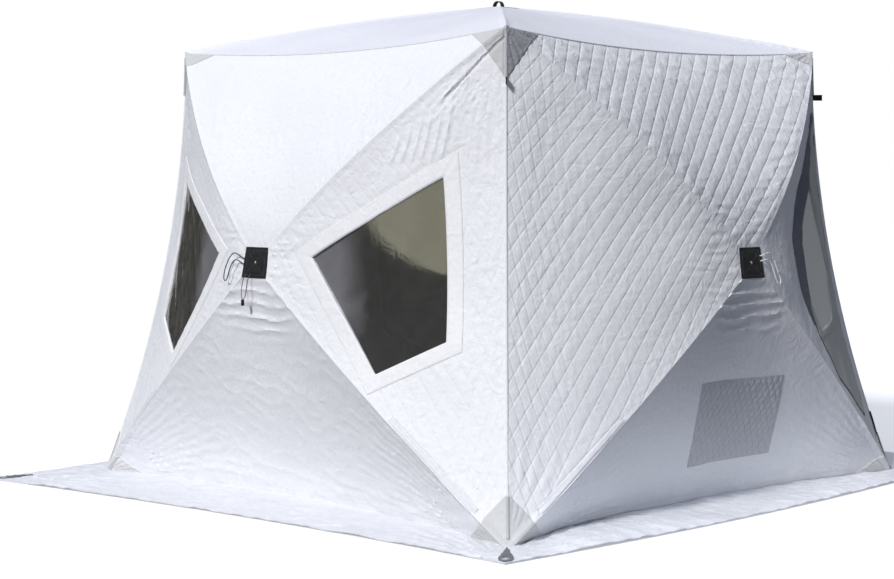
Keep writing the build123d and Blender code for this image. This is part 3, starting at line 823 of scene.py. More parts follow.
def raise_top(spots):
    """Stripes of quilting on the side walls, and long soft folds on the other two."""
    for side in (-1, 1):
        spots.off_seam *= step_up(spots.away(EAVE_FLAT[side]), 0.15, 0.20)
    if spots.side_wall:
        puff = 0.0034 * puffed(spots.points, STRIPE_ANGLE, STRIPE_PITCH, STEEP_ANGLE, 0.070, 0.12, 0.32)
        tucks = np.abs(spots.noise((0.030, 0.030, 0.016), 2)) * 0.0020
        spots.height += (puff + tucks) * spots.off_seam
        spots.height += 0.004 * crease(spots.noise((0.16, 0.16, 0.05), 4), 0.25) \
            * spots.off_seam * (1 - step_up(spots.edge, 0.06, 0.2))
        for side in (-1, 1):
            spots.height += 0.0060 * fan(spots.points * np.array([side, 1]), EAVE_FLAT[1], -math.pi,
                                         -0.80 * math.pi, 5, 0.46, spots.seed + 30)
    else:
        spots.height += 0.004 * spots.noise((0.5, 0.5, 0.16), 6) * spots.off_seam
        spots.height += 0.0035 * crease(spots.noise((0.05, 0.05, 0.5), 7), 0.35) \
            * spots.off_seam * step_up(np.abs(spots.x), 0.25, 0.5) * (1 - step_up(spots.z, 1.45, 1.80))


def raise_bottom(spots):
    """Bars of cloth drawn in under the hub, crumples, and pulls at the two feet."""
    under_hub = step_up(spots.from_hub, 0.06, 0.10) * (1 - step_up(spots.from_hub, 0.24, 0.36))
    down = HUB_HEIGHT - spots.z + 0.12 * spots.x * spots.x
    bars = np.maximum(np.sin(down * 2 * math.pi / 0.050 + 1.1 * spots.noise(0.12, 3)), 0) ** 1.6 - 0.3
    spots.height += 0.0085 * under_hub * bars * (0.75 + 0.4 * spots.noise(0.12, 8))
    crumples = crease(spots.noise((0.085, 0.085, 0.07), 9), 0.30)
    spots.height += 0.0026 * crumples * step_up(spots.from_hub, 0.25, 0.5) * spots.off_seam \
        * (0.3 if spots.side_wall else 1.0)
    for side in (-1, 1):
        start, end = (math.pi - 0.80, math.pi - 0.05) if side > 0 else (0.05, 0.80)
        spots.height += 0.0095 * fan(spots.points, FOOT_FLAT[side], start, end, 13, 0.95, spots.seed + side) \
            * step_up(spots.away(FOOT_FLAT[side]), 0.22, 0.34)
    spots.height += 0.004 * crease(spots.noise((0.30, 0.30, 0.055), 11), 0.22) \
        * step_up(spots.edge, 0.0, 0.03) * (1 - step_up(spots.z, 0.10, 0.26))


def raise_side(spots):
    """Diamonds of quilting, tucks, puckers by the upright, and pulls at the eave and the foot."""
    side, wall, points = spots.panel, spots.wall, spots.points
    plain = spots.off_seam.copy()
    from_upright = gap_to(points, curve_points(upright_seam(side), 120)[:, [0, 2]])[0]
    puff = puffed(points, -side * DIAMOND_ANGLE, DIAMOND_PITCH, -side * STEEP_ANGLE, STEEP_PITCH,
                  0.60 - 0.40 * step_up(from_upright, 0.10, 0.50), 0.36)
    if not spots.side_wall:                             # flat by the window, gathered above it
        zone = mitred(WINDOWS[side], BINDING + 0.004)
        away = gap_to(points, rounded(zone, 0.004, 0.006))[0] * np.where(inside(points, zone), -1, 1)
        plain *= step_up(away, 0.0, 0.020)
        to_eave = EAVE_FLAT[side] - HUB_FLAT
        upper = np.abs(np.cross(to_eave, points - HUB_FLAT) / np.linalg.norm(to_eave))
        hanging = step_up(upper, 0.01, 0.05) * (1 - step_up(upper, 0.22, 0.34))
        drift = 0.25 * spots.noise((0.10, 0.10, 0.25), 12)
        gathers = np.abs(np.sin(math.pi * ((spots.x * side - 0.26 * spots.z) / 0.036 + drift))) ** 0.6
        spots.height += 0.0012 * gathers * hanging * plain * step_up(spots.from_hub, 0.50, 0.66) \
            * (1 - step_up(spots.from_hub, 0.90, 1.06))
    elif DOOR_SIDE[wall] == side:                       # no quilting round a door
        puff = puff * 0.0
        spots.height += 0.0035 * spots.noise((0.09, 0.09, 0.5), 12) * spots.off_seam
    for corner in (EAVE_FLAT[side], FOOT_FLAT[side]):
        plain *= step_up(spots.away(corner), 0.15, 0.20)
    spots.height += (0.0013 if spots.side_wall else 0.0007) * puff * plain
    spots.height += 0.0013 * np.abs(spots.noise((0.028, 0.028, 0.018), 2)) * plain
    puckers = spots.noise((0.011, 0.011, 0.17), 16) * plain
    spots.height += 0.0016 * puckers * (1 - step_up(from_upright, 0.12, 0.42))
    near_hub = (1 - step_up(spots.from_hub, 0.16, 0.42)) * (DOOR_SIDE.get(wall) != side)
    spots.height += 0.004 * near_hub * crease(spots.noise((0.16, 0.16, 0.022), 14), 0.4) * plain
    if (wall, side) in LAP_WALLS:
        spots.height += 0.8 * lap_height(points) + hanging_height(points)
    mirror = np.array([side, 1])
    for corner, start, end, tall in ((FOOT_FLAT[side], 0.42 * math.pi, 0.80 * math.pi, 0.0075),
                                     (EAVE_FLAT[side], -0.74 * math.pi, -0.52 * math.pi, 0.0050)):
        spots.height += tall * fan(points * mirror, corner * mirror, start, end, 9, 0.55, spots.seed + 20) \
            * step_up(spots.away(corner), 0.17, 0.26)


def panel_height(panel, wall, points):
    """Height of a panel's cloth over its smooth stretched shape."""
    spots = Spots(panel, wall, points)
    if panel == "top":
        raise_top(spots)
    elif panel == "bottom":
        raise_bottom(spots)
    elif panel == "roof":
        spots.height += 0.003 * spots.noise((0.5, 0.5, 0.5), 5) * spots.off_seam
    else:
        raise_side(spots)
    puckered = {"top": 0.0019, "bottom": 0.0008}.get(panel, 0.0022) if spots.side_wall else 0.0008
    if panel == "roof" or DOOR_SIDE.get(wall) == panel:
        puckered = 0.0
    return spots.height + seam_ridge(panel, points, puckered)


def smooth_area(panel, rings):
    """Area of the cut cloth, and the size of the rectangle that it is cut from."""
    places, faces = triangles(rings, even_rows(rings[0], 0.05), 0.025)
    p = on_panel(panel, places)
    a, b, c = p[faces[:, 0]], p[faces[:, 1]], p[faces[:, 2]]
    area = float(np.linalg.norm(np.cross(b - a, c - a), axis=1).sum() / 2)
    net = PANELS[panel]
    rim = float(np.linalg.norm(net[2, 2] - net[2, 0]))
    middle = surface(net, np.array([1.0, 0.0]), np.array([0.5, 0.5]))
    return area, (rim, float(np.linalg.norm(middle[0] - middle[1])))


SIDE_NAMES = {"front": {-1: "left", 1: "right"}, "right": {-1: "front", 1: "back"},
              "back": {-1: "right", 1: "left"}, "left": {-1: "back", 1: "front"}}
FINE, LINE_OFFSETS = 0.0105, (0.0, 0.075, 0.22, 0.40, 0.60, 0.78, 0.925)
for wall in WALLS:
    for panel in ("top", "bottom", -1, 1):
        rings = [panel_ring(panel)]
        finish, points = plain_cloth, even_rows(rings[0], FINE)
        if panel == "top" and wall in DOOR_SIDE:
            finish = stripe_cloth
            points = even_rows(rings[0], FINE, STRIPE_ANGLE, LINE_OFFSETS, STRIPE_PITCH)
        elif panel in (-1, 1) and DOOR_SIDE.get(wall) != panel:
            finish = diamond_cloth[panel, 1.0 if wall in DOOR_SIDE else SOFT_LINES]
            points = even_rows(rings[0], FINE, -panel * DIAMOND_ANGLE, LINE_OFFSETS, DIAMOND_PITCH)
        if (wall, panel) in LAP_WALLS:
            extra = lap_points()
            points = np.concatenate([points[gap_to(points, extra)[0] > 0.004], extra])
        if panel in (-1, 1) and wall in ("front", "back"):
            rings.append(hole(WINDOWS[panel]))
        elif panel in (-1, 1) and DOOR_SIDE.get(wall) == panel:
            rings.append(rounded(DOORS[panel], DOOR_RADIUS, EDGE_STEP))
        node = f"{wall}_wall_{SIDE_NAMES[wall][panel] if panel in (-1, 1) else panel}"
        made = sheet_mesh(node + "_cloth", rings, points,
                          lambda p: on_panel(panel, p, panel_height(panel, wall, p)),
                          lambda p: shrunk(on_panel(panel, p), depth(CLOTH)), finish, wall)
        dress(made, "wall_cloth", node)
        area, flat = smooth_area(panel, rings)
        if area < 0.32 * flat[0] * flat[1]:         # a frame round a door is pieced from strips
            flat = (0.25, area / 0.25)

# ---------------------------------------------------------------------------------------------
# Roof: four plain triangles of the same coated cloth without quilting, over four flatter poles
# that meet at the roof's own hub.  They are sewn to the walls along the eaves.
# ---------------------------------------------------------------------------------------------
roof_finish = cloth("roof_cloth", shades(238, 238, 246), roughness=0.6, crumple=0.7)
for wall in WALLS:
    ring = panel_ring("roof")
    made = sheet_mesh(f"roof_{wall}_cloth", [ring], even_rows(ring, 0.014),
                      lambda p: on_panel("roof", p, panel_height("roof", wall, p)),
                      lambda p: shrunk(on_panel("roof", p), depth(CLOTH)), roof_finish, wall)
    dress(made, "roof_cloth", f"roof_{wall}")
    area, flat = smooth_area("roof", [ring])

# ---------------------------------------------------------------------------------------------
# Skirt: a plain flap of unquilted cloth sewn to the foot of each wall, to be weighed down with
# snow.  It lies loosely on the ground and is pulled out at its four corners.
# ---------------------------------------------------------------------------------------------
NEAR_TIP, PULLED_TIP = (0.176, 0.199), (0.110, 0.500)
FRONT_SKIRT_IN, SIDE_SKIRT_OUT = 0.060, 0.088
PEG_TAB = 0.084
SKIRT_THICK, SKIRT_WIDE = 0.0035, 0.30


def skirt_tip(side, wall):
    """Outer corner of a wall's skirt, given as if the wall were the front one."""
    corner = turned(FOOT[side], wall)
    dx, dy = PULLED_TIP if corner[0] * corner[1] > 0 else NEAR_TIP
    tip = corner + np.array([math.copysign(dx, corner[0]), math.copysign(dy, corner[1]), 0])
    back = {"front": "front", "right": "left", "back": "back", "left": "right"}[wall]
    return turned(tip, back)


def skirt_lines(wall):
    """A skirt's inner and outer lines, and each corner's tip with the cut beside its peg tab."""
    left, right = skirt_tip(-1, wall)[:2], skirt_tip(1, wall)[:2]
    shift = -FRONT_SKIRT_IN if wall in ("front", "back") else SIDE_SKIRT_OUT
    middle = (left + right) / 2 + np.array([0, -2 * shift])
    foot = curve_points(BASE_SEAM, 190)[:, :2]
    outer = weights(np.linspace(0, 1, 230)) @ np.array([left, middle, right])
    left_cut = towards(left, FOOT[-1][:2], PEG_TAB)
    right_cut = towards(right, FOOT[1][:2], PEG_TAB)
    return foot, outer, (left, left_cut), (right, right_cut)


def skirt_height(wall, points):
    """Height of a skirt's upper face: a crown along the wall, waves, creases and pulls at its tips."""
    foot, outer, (left, _), (right, _) = skirt_lines(wall)
    from_wall, along = gap_to(points, foot)
    from_edge = gap_to(points, outer)[0]
    share = along / 189
    width = from_wall + from_edge
    ends = np.minimum(np.abs(points[:, 0] - FOOT[-1][0]), np.abs(points[:, 0] - FOOT[1][0]))
    ends = np.where(np.abs(points[:, 0]) > BASE_HALF, 0, step_up(ends, 0.0, 0.35))
    places = turned(np.concatenate([points, np.zeros((len(points), 1))], axis=1), wall)
    seed = WALLS[wall] + 40
    crown = np.sin(math.pi * np.clip(from_wall / width, 0, 1)) ** 0.7 * ends
    waves = 0.65 + 0.5 * ripple(places, 0.42, seed)
    tall = 0.026 if wall in DOOR_SIDE else 0.010
    height = 0.0062 + tall * crown * np.clip(waves, 0.15, 1.3)
    height += 0.006 * np.maximum(0, ripple(places, (0.22, 0.22, 1), 61)) * (0.4 + 0.6 * ends)
    height += 0.0035 * crease(ripple(places, (0.13, 0.13, 1), 62), 0.25)
    height += 0.0016 * ripple(places, (0.035, 0.035, 1), 63)
    for tip in (left, right):
        inward = math.atan2(-tip[1] - 0.9, -tip[0])
        height += 0.006 * fan(points, tip, inward - 0.5, inward + 0.5, 9, 0.9, 64)
    return np.maximum(height, SKIRT_THICK + 0.0012)


def level(points, height):
    return np.concatenate([points, height[:, None]], axis=1)


skirt_finish = cloth("skirt_cloth", shades(239, 240, 245), roughness=0.58, crumple=1.3)
for wall in WALLS:
    foot, outer, (left, left_cut), (right, right_cut) = skirt_lines(wall)
    keep = np.ones(len(outer), bool)
    for cut, away in ((left_cut, left - FOOT[-1][:2]), (right_cut, right - FOOT[1][:2])):
        keep &= (outer - cut) @ away < 0
    closed = np.concatenate([foot[::-1], [left_cut], outer[keep], [right_cut], foot[-1:]])
    length = run_of(closed)[-1]
    ring = points_at(closed, np.linspace(0, length, int(length / EDGE_STEP))[:-1])
    if ring_area(ring) < 0:
        ring = ring[::-1]
    made = sheet_mesh(f"skirt_{wall}_cloth", [ring], even_rows(ring, 0.011),
                      lambda p: level(p, skirt_height(wall, p)),
                      lambda p: level(p, skirt_height(wall, p) - SKIRT_THICK), skirt_finish, wall)
    dress(made, "skirt_cloth", f"skirt_{wall}")
    area = ring_area(ring)

# ---------------------------------------------------------------------------------------------
# Windows: smoked clear film behind each opening in the front and back walls, held by a wide
# white binding that is folded round the edge of the cloth, mitred at the corners and sewn twice.
# ---------------------------------------------------------------------------------------------
def merged(name, made):
    """Several pieces made one mesh."""
    bm = bmesh.new()
    for piece in made:
        bm.from_mesh(piece.data)
    mesh = bpy.data.meshes.new(name)
    for material in made[0].data.materials:
        mesh.materials.append(material)
    bm.to_mesh(mesh)
    bm.free()
    for piece in made:
        bpy.data.objects.remove(piece)
    whole = bpy.data.objects.new(name, mesh)
    scene.collection.objects.link(whole)
    return whole


def loft(name, rows, cuts, material, closed=False, sharp=40):
    """Closed band or tube through rows of points: rows[i] is a section's closed outline."""
    rows = np.asarray(rows, float)
    count, around = rows.shape[:2]
    faces = []
    for i in range(count if closed else count - 1):
        j = (i + 1) % count
        for k in range(around):
            m = (k + 1) % around
            faces.append((i * around + k, i * around + m, j * around + m, j * around + k))
    if not closed:
        faces.append(tuple(range(around)))
        faces.append(tuple((count - 1) * around + k for k in reversed(range(around))))
    return built(name, rows.reshape(-1, 3), faces, cuts, material, sharp)


def cut_grid(run, across):
    """Places on the flat cloth for a loft: lengths along it by distances across it."""
    return np.stack(np.broadcast_arrays(run[:, None], across[None, :]), -1)


def cloth_depth(panel, flat_points, outside, under):
    """Places over (+) or inside (-) a panel's cloth, where inside is counted from its outer face."""
    smooth = on_panel(panel, flat_points)
    reach = np.linalg.norm(smooth - MIDDLE, axis=1) / CLOTH_RADIUS
    return raised(smooth, np.where(under, outside * reach, outside))


def frame_points(ring, offset, steps):
    """Points round a straight-sided ring moved out by an offset, in step with every other offset."""
    moved = mitred(ring, offset)
    line = []
    for a, b, count in zip(moved, np.roll(moved, -1, axis=0), steps):
        line.append(a + (b - a) * np.linspace(0, 1, count, endpoint=False)[:, None])
    return np.concatenate(line)


def bind(name, ring, width, panel, wall, material):
    """Binding folded round the edge of an opening."""
    sides = zip(ring, np.roll(ring, -1, axis=0))
    steps = [max(8, int(np.linalg.norm(b - a) / EDGE_STEP)) for a, b in sides]
    section = [(width, 0.0004), (width - 0.0012, 0.0022), (width - 0.004, 0.0027), (width * 0.72, 0.0031),
               (width * 0.45, 0.0033), (width * 0.2, 0.0032), (0.006, 0.0034), (0.0015, 0.0026),
               (-0.0012, 0.0), (-0.0012, -0.0070), (0.0015, -0.0092), (0.008, -0.0098), (0.030, -0.0098),
               (0.030, -0.0078), (0.007, -0.0076), (0.0035, -0.004), (0.005, -0.0004),
               (width - 0.004, -0.0008)]
    corner = np.concatenate([np.minimum(np.arange(n), n - np.arange(n)) * EDGE_STEP for n in steps])
    dip = 0.0012 * np.exp(-(corner / 0.006) ** 2)
    length = np.arange(len(corner)) * EDGE_STEP
    rows, cuts = [], []
    for offset, height in section:
        flat = frame_points(ring, offset, steps)
        if height > -0.001:
            low = panel_height(panel, wall, flat)
            waves = np.stack([length * 55, np.full(len(flat), offset * 12), length * 0], -1)
            puckers = 0.0009 * ripple(waves, 1.0, 9)
            places = on_panel(panel, flat, low + height + (puckers - dip) * (height > 0.0015))
        else:
            places = cloth_depth(panel, flat, height, True)
        rows.append(turned(places, wall))
        cuts.append(np.stack([length, np.full(len(flat), offset)], -1))
    return loft(name, np.stack(rows, axis=1), np.stack(cuts, axis=1), material, closed=True)


binding_finish = cloth("window_binding", shades(241, 241, 244), crumple=0.7)


def clear_film(name, near_haze, far_haze, haze_colour):
    """Tinted clear film with a milky haze of fine scratches and frost."""
    finish = Finish(name)
    place = finish.node("TexCoord").outputs["Object"]
    streaks = finish.grain(place, 7.0, Detail=5.0, Distortion=1.0)
    tint = finish.blend(finish.ramp(streaks, 0.35, 0.75), (0.235, 0.222, 0.150, 1), (0.275, 0.262, 0.185, 1))
    clear = finish.node("BsdfPrincipled", Base_Color=tint, Roughness=0.06, IOR=1.42,
                        Transmission_Weight=1.0, Normal=finish.bump(streaks, 0.006))
    milky = finish.node("BsdfDiffuse", Color=haze_colour).outputs[0]
    wide = finish.grain(place, 2.6, Detail=3.0, Distortion=0.6)
    cut = finish.node("SeparateXYZ", Vector=finish.node("TexCoord").outputs["UV"])
    off_middle = finish.maths("ABSOLUTE", cut.outputs[0])
    off_hub = finish.maths("ADD", off_middle, finish.maths("MULTIPLY", wide, 0.25))
    near_hub = finish.maths("MULTIPLY", finish.ramp(off_hub, 0.64, 0.52), near_haze - far_haze)
    share = finish.maths("ADD", near_hub, far_haze)
    mixed = finish.node("MixShader", n0=share, n1=clear.outputs[0], n2=milky)
    return finish.done(mixed.outputs[0])


film_finish = clear_film("window_film", 0.42, 0.07, (0.33, 0.33, 0.36, 1))
door_film_finish = clear_film("door_window_film", 0.90, 0.90, (0.94, 0.93, 0.86, 1))
FILM, FILM_DEPTH = 0.0016, 0.004


def film(name, ring, panel, wall, pleats, seed, finish=film_finish):
    """Sheet of clear film in an opening: slack, with soft pleats that run one way."""
    flat_ring = rounded(mitred(ring, 0.0012), 0.004, 0.010)
    middle = flat_ring.mean(axis=0)
    along = np.array([math.cos(pleats), math.sin(pleats)])

    def slack(points):
        edge = step_up(gap_to(points, flat_ring)[0], 0.0, 0.06)
        across = (points - middle) @ np.array([-along[1], along[0]])
        run = (points - middle) @ along
        wander = ripple(np.stack([across * 5, run * 1.6, run * 0 + seed], -1), 1.0, seed)
        folds = 0.0032 * np.sin(2 * math.pi * (across / 0.085 + 0.35 * wander)) * (0.55 + 0.45 * wander)
        return edge * (folds + 0.003 * wander)

    made = sheet_mesh(name, [flat_ring], even_rows(flat_ring, 0.010),
                      lambda p: cloth_depth(panel, p, -FILM_DEPTH + slack(p) * 0.6, True),
                      lambda p: cloth_depth(panel, p, -FILM_DEPTH - FILM + slack(p) * 0.6, True),
                      finish, wall, margin=0.005, alike=True)
    return made, ring_area(flat_ring)


for wall in ("front", "back"):
    panes, bindings, area = [], [], 0
    for side in (-1, 1):
        pane, pane_area = film(f"pane_{wall}_{side}", WINDOWS[side], side, wall, math.radians(side * 62),
                               side + 3)
        panes.append(pane)
        area += pane_area
        bindings.append(bind(f"binding_{wall}_{side}", WINDOWS[side], BINDING, side, wall, binding_finish))
    made = merged(f"{wall}_window_films", panes)
    dress(made, "window_film", f"{wall}_windows")
    border = dress(merged(f"{wall}_window_bindings", bindings), "wall_cloth")

# ---------------------------------------------------------------------------------------------
# Doors: in the back side panel of the right and left walls, a plain cloth leaf round a large
# film window, closed by a coil zip on dark tape under a grey storm flap sewn beyond the zip.
# ---------------------------------------------------------------------------------------------
ZIP_WIDTH, FLAP_OUT, FLAP_IN = 0.014, 0.062, 0.048
DOOR_GLASS = [(0.541, 0.099), (0.382, 0.137), (0.278, 0.184), (0.185, 0.271), (0.137, 0.327), (0.099, 0.402),
              (0.221, 0.481), (0.385, 0.422), (0.448, 0.328)]
# door cloth: partly the leaf's own grey tint, partly painted shade and a greenish painted reflection that
# darken and warm it
door_cloth = cloth("door_cloth", shades(196, 196, 191), crumple=1.1)
flap_finish = cloth("flap_cloth", shades(104, 107, 116), roughness=0.6, crumple=1.0)
tape_finish = cloth("zip_tape", shades(112, 114, 121), roughness=0.7, crumple=0.3)


def along_ring(line, offset, closed=True):
    """A line moved sideways: outwards from a counter-clockwise ring is positive."""
    ahead = np.roll(line, -1, axis=0) - np.roll(line, 1, axis=0)
    if not closed:
        ahead[0], ahead[-1] = line[1] - line[0], line[-1] - line[-2]
    ahead = unit(ahead)
    return line + np.stack([ahead[:, 1], -ahead[:, 0]], -1) * np.asarray(offset).reshape(-1, 1)


def band(name, line, section, panel, wall, material, closed=True, wave=None, pinch=1.0):
    """Strip that follows a flat line over a panel; its section is offsets and heights."""
    count = len(line)
    length = run_of(line)
    pinch = np.ones(count) * pinch
    rows, cuts = [], []
    for offset, height in section:
        flat = along_ring(line, offset * pinch, closed)
        low = panel_height(panel, wall, flat)
        extra = wave(length, offset) if wave else 0.0
        rows.append(turned(on_panel(panel, flat, low + (height + extra) * (0.3 + 0.7 * pinch)), wall))
        cuts.append(np.stack([length, np.full(count, offset)], -1))
    return loft(name, np.stack(rows, axis=1), np.stack(cuts, axis=1), material, closed)


def part_of_ring(line, start, end):
    """The stretch of a ring between the points nearest to two places, going on round it."""
    a = int(np.linalg.norm(line - start, axis=1).argmin())
    b = int(np.linalg.norm(line - end, axis=1).argmin())
    return np.concatenate([line[a:], line[:a]])[:(b - a) % len(line) + 1]


def repeat_tree():
    """Geometry nodes that put a small rounded bead on each point, laid along the point's line."""
    tree = bpy.data.node_groups.new("sewn_row", "GeometryNodeTree")
    tree.interface.new_socket("Geometry", in_out="INPUT", socket_type="NodeSocketGeometry")
    for label, value in (("Length", 0.005), ("Width", 0.001), ("Thickness", 0.001)):
        tree.interface.new_socket(label, in_out="INPUT", socket_type="NodeSocketFloat").default_value = value
    tree.interface.new_socket("Material", in_out="INPUT", socket_type="NodeSocketMaterial")
    tree.interface.new_socket("Geometry", in_out="OUTPUT", socket_type="NodeSocketGeometry")

    def node(kind, **settings):
        made = tree.nodes.new(kind)
        for key, value in settings.items():
            setattr(made, key, value)
        return made

    given, out = node("NodeGroupInput"), node("NodeGroupOutput")
    bead = node("GeometryNodeMeshUVSphere")
    bead.inputs["Segments"].default_value, bead.inputs["Rings"].default_value = 5, 3
    bead.inputs["Radius"].default_value = 0.5
    size = node("ShaderNodeCombineXYZ")
    for number, label in enumerate(("Length", "Width", "Thickness")):
        tree.links.new(given.outputs[label], size.inputs[number])
    along = node("GeometryNodeInputNamedAttribute", data_type="FLOAT_VECTOR")
    along.inputs["Name"].default_value = "along"
    out_of = node("GeometryNodeInputNamedAttribute", data_type="FLOAT_VECTOR")
    out_of.inputs["Name"].default_value = "out"
    turn = node("FunctionNodeAxesToRotation", primary_axis="X", secondary_axis="Z")
    tree.links.new(along.outputs[0], turn.inputs[0])
    tree.links.new(out_of.outputs[0], turn.inputs[1])
    placed = node("GeometryNodeInstanceOnPoints")
    tree.links.new(given.outputs["Geometry"], placed.inputs["Points"])
    tree.links.new(bead.outputs["Mesh"], placed.inputs["Instance"])
    tree.links.new(turn.outputs[0], placed.inputs["Rotation"])
    tree.links.new(size.outputs[0], placed.inputs["Scale"])
    real = node("GeometryNodeRealizeInstances")
    tree.links.new(placed.outputs[0], real.inputs[0])
    smooth = node("GeometryNodeSetShadeSmooth")
    tree.links.new(real.outputs[0], smooth.inputs[0])
    coat = node("GeometryNodeSetMaterial")
    tree.links.new(smooth.outputs[0], coat.inputs["Geometry"])
    tree.links.new(given.outputs["Material"], coat.inputs["Material"])
    tree.links.new(coat.outputs[0], out.inputs[0])
    return tree


SEWN_ROW = repeat_tree()


def beads(name, rows, length, width, thickness, material, slot):
    """One mesh of beads on rows of (places, directions along, directions out)."""
    places, alongs, outs = (np.concatenate([row[k] for row in rows]) for k in range(3))
    mesh = bpy.data.meshes.new(name)
    mesh.from_pydata(places.tolist(), [], [])
    for label, vectors in (("along", alongs), ("out", outs)):
        mesh.attributes.new(label, "FLOAT_VECTOR", "POINT").data.foreach_set("vector", vectors.ravel())
    base = bpy.data.objects.new(name + "_base", mesh)
    scene.collection.objects.link(base)
    row = base.modifiers.new("row", "NODES")
    row.node_group = SEWN_ROW
    inputs = {s.name: s.identifier for s in SEWN_ROW.interface.items_tree if s.in_out == "INPUT"}
    given = {"Length": length, "Width": width, "Thickness": thickness, "Material": material}
    for label, value in given.items():
        row[inputs[label]] = value
    ready = bpy.data.meshes.new_from_object(base.evaluated_get(bpy.context.evaluated_depsgraph_get()))
    bpy.data.objects.remove(base)
    ready.name = name
    made = bpy.data.objects.new(name, ready)
    scene.collection.objects.link(made)
    dress(made, slot)


def sewn(line, panel, wall, pitch, lift, closed=True):
    """A row of stitches at an even pitch along a flat line over a panel."""
    if closed:
        line = np.concatenate([line, line[:1]])
    places = points_at(line, np.arange(pitch / 2, run_of(line)[-1], pitch))
    solid = turned(on_panel(panel, places, panel_height(panel, wall, places) + lift), wall)
    ahead = np.roll(solid, -1, axis=0) - solid
    ahead[-1] = ahead[-2]
    return solid, unit(ahead), unit(solid - MIDDLE)


thread_finish = cloth("white_thread", shades(206, 207, 213), roughness=0.7, crumple=0.0)
dark_thread = cloth("grey_thread", shades(92, 93, 99), roughness=0.7, crumple=0.0)
rows = []
for wall in ("front", "back"):
    for side in (-1, 1):
        for offset in (0.004, BINDING - 0.004):
            ring = mitred(WINDOWS[side], offset)
            steps = [int(np.linalg.norm(b - a) / 0.01) for a, b in zip(ring, np.roll(ring, -1, axis=0))]
            rows.append(sewn(frame_points(WINDOWS[side], offset, steps), side, wall, 0.009, 0.0033))
beads("window_stitches", rows, 0.0058, 0.0011, 0.0010, thread_finish, "wall_cloth")

zip_finish = Finish("zip_coil")
gleam = zip_finish.grain(zip_finish.node("TexCoord").outputs["Object"], 220.0)
zip_shade = zip_finish.blend(gleam, shades(84, 85, 90), shades(112, 113, 119))
zip_finish.done(zip_finish.node("BsdfPrincipled", Base_Color=zip_shade, Roughness=0.42).outputs[0])
films, tapes, flaps, door_bindings, teeth, flap_rows = [], [], [], [], [], []
film_area, flap_area = 0, 0
for wall, side in DOOR_SIDE.items():
    opening = rounded(DOORS[side], DOOR_RADIUS, EDGE_STEP)
    leaf_ring = rounded(mitred(DOORS[side], -ZIP_WIDTH), 0.046, EDGE_STEP)
    glass = panel_places(DOOR_GLASS, side)
    glass_ring = rounded(glass, 0.012, 0.010)
    leaf = sheet_mesh(f"{wall}_door_leaf", [leaf_ring, hole(glass)], even_rows(leaf_ring, 0.011),
                      lambda p: on_panel(side, p, panel_height(side, wall, p)),
                      lambda p: shrunk(on_panel(side, p), depth(CLOTH)), door_cloth, wall)
    dress(leaf, "wall_cloth", f"{wall}_door")
    area = ring_area(leaf_ring) - ring_area(glass_ring)
    door_bindings.append(bind(f"{wall}_glass_binding", glass, 0.030, side, wall, door_cloth))
    pane, pane_area = film(f"{wall}_glass", glass, side, wall, math.radians(side * 105), 6 + side,
                           door_film_finish)
    films.append(pane)
    film_area += pane_area
    zip_line = rounded(mitred(DOORS[side], -ZIP_WIDTH / 2), 0.053, 0.010)
    tape = [(-0.013, -0.0042), (-0.013, -0.0026), (-0.004, -0.0024), (0.004, -0.0024), (0.013, -0.0026),
            (0.013, -0.0042)]
    tapes.append(band(f"{wall}_tape", zip_line, tape, side, wall, tape_finish))
    for sign in (-1, 1):
        teeth.append(sewn(along_ring(zip_line, sign * 0.0011), side, wall, 0.0042, -0.0014))
    places = panel_places(DOOR, side) if side > 0 else panel_places(DOOR, side)[::-1]
    top, pole_side = places[0], places[4:6].mean(axis=0)
    flap_line = part_of_ring(opening, top, pole_side) if side > 0 else part_of_ring(opening, pole_side, top)
    run = run_of(flap_line) if side > 0 else run_of(flap_line)[-1] - run_of(flap_line)
    pinch = (0.40 + 0.60 * step_up(run, 0.0, 0.42)) * (1 - 0.78 * step_up(run, run.max() - 0.26, run.max()))
    cover = [(FLAP_OUT, 0.0004), (FLAP_OUT - 0.001, 0.0028), (0.040, 0.0040), (0.014, 0.0064),
             (-0.008, 0.0090), (-0.024, 0.0085), (-0.038, 0.0062), (-FLAP_IN, 0.0044), (-FLAP_IN, 0.0022),
             (-0.024, 0.0056), (-0.006, 0.0060), (0.014, 0.0034), (0.040, 0.0008),
             (FLAP_OUT - 0.002, -0.0008)]

    def flutter(length, offset):
        free = np.clip((0.020 - offset) / 0.06, 0, 1)
        return free * 0.004 * np.abs(ripple(np.stack([length * 9, length * 0 + 3, length * 0], -1), 1.0, 17))

    flaps.append(band(f"{wall}_flap", flap_line, cover, side, wall, flap_finish, closed=False, wave=flutter,
                      pinch=pinch))
    for inset in (0.004, 0.010):
        edge = along_ring(flap_line, FLAP_OUT * pinch - inset, False)[3:-3]
        flap_rows.append(sewn(edge, side, wall, 0.009, 0.0034, False))
    flap_area += float((pinch * (FLAP_OUT + FLAP_IN) * np.gradient(run_of(flap_line))).sum())
door_glass = merged("door_window_films", films)
dress(door_glass, "window_film", "door_windows")
glass_edges = dress(merged("door_window_bindings", door_bindings), "wall_cloth")
zip_tapes = merged("door_zip_tapes", tapes)
dress(zip_tapes, "zip", "door_zips")
beads("door_zip_teeth", teeth, 0.0024, 0.0040, 0.0018, zip_finish.material, "zip")
storm_flaps = merged("door_storm_flaps", flaps)
dress(storm_flaps, "flap_cloth", "door_flaps")
beads("flap_stitches", flap_rows, 0.0058, 0.0011, 0.0010, dark_thread, "flap_cloth")

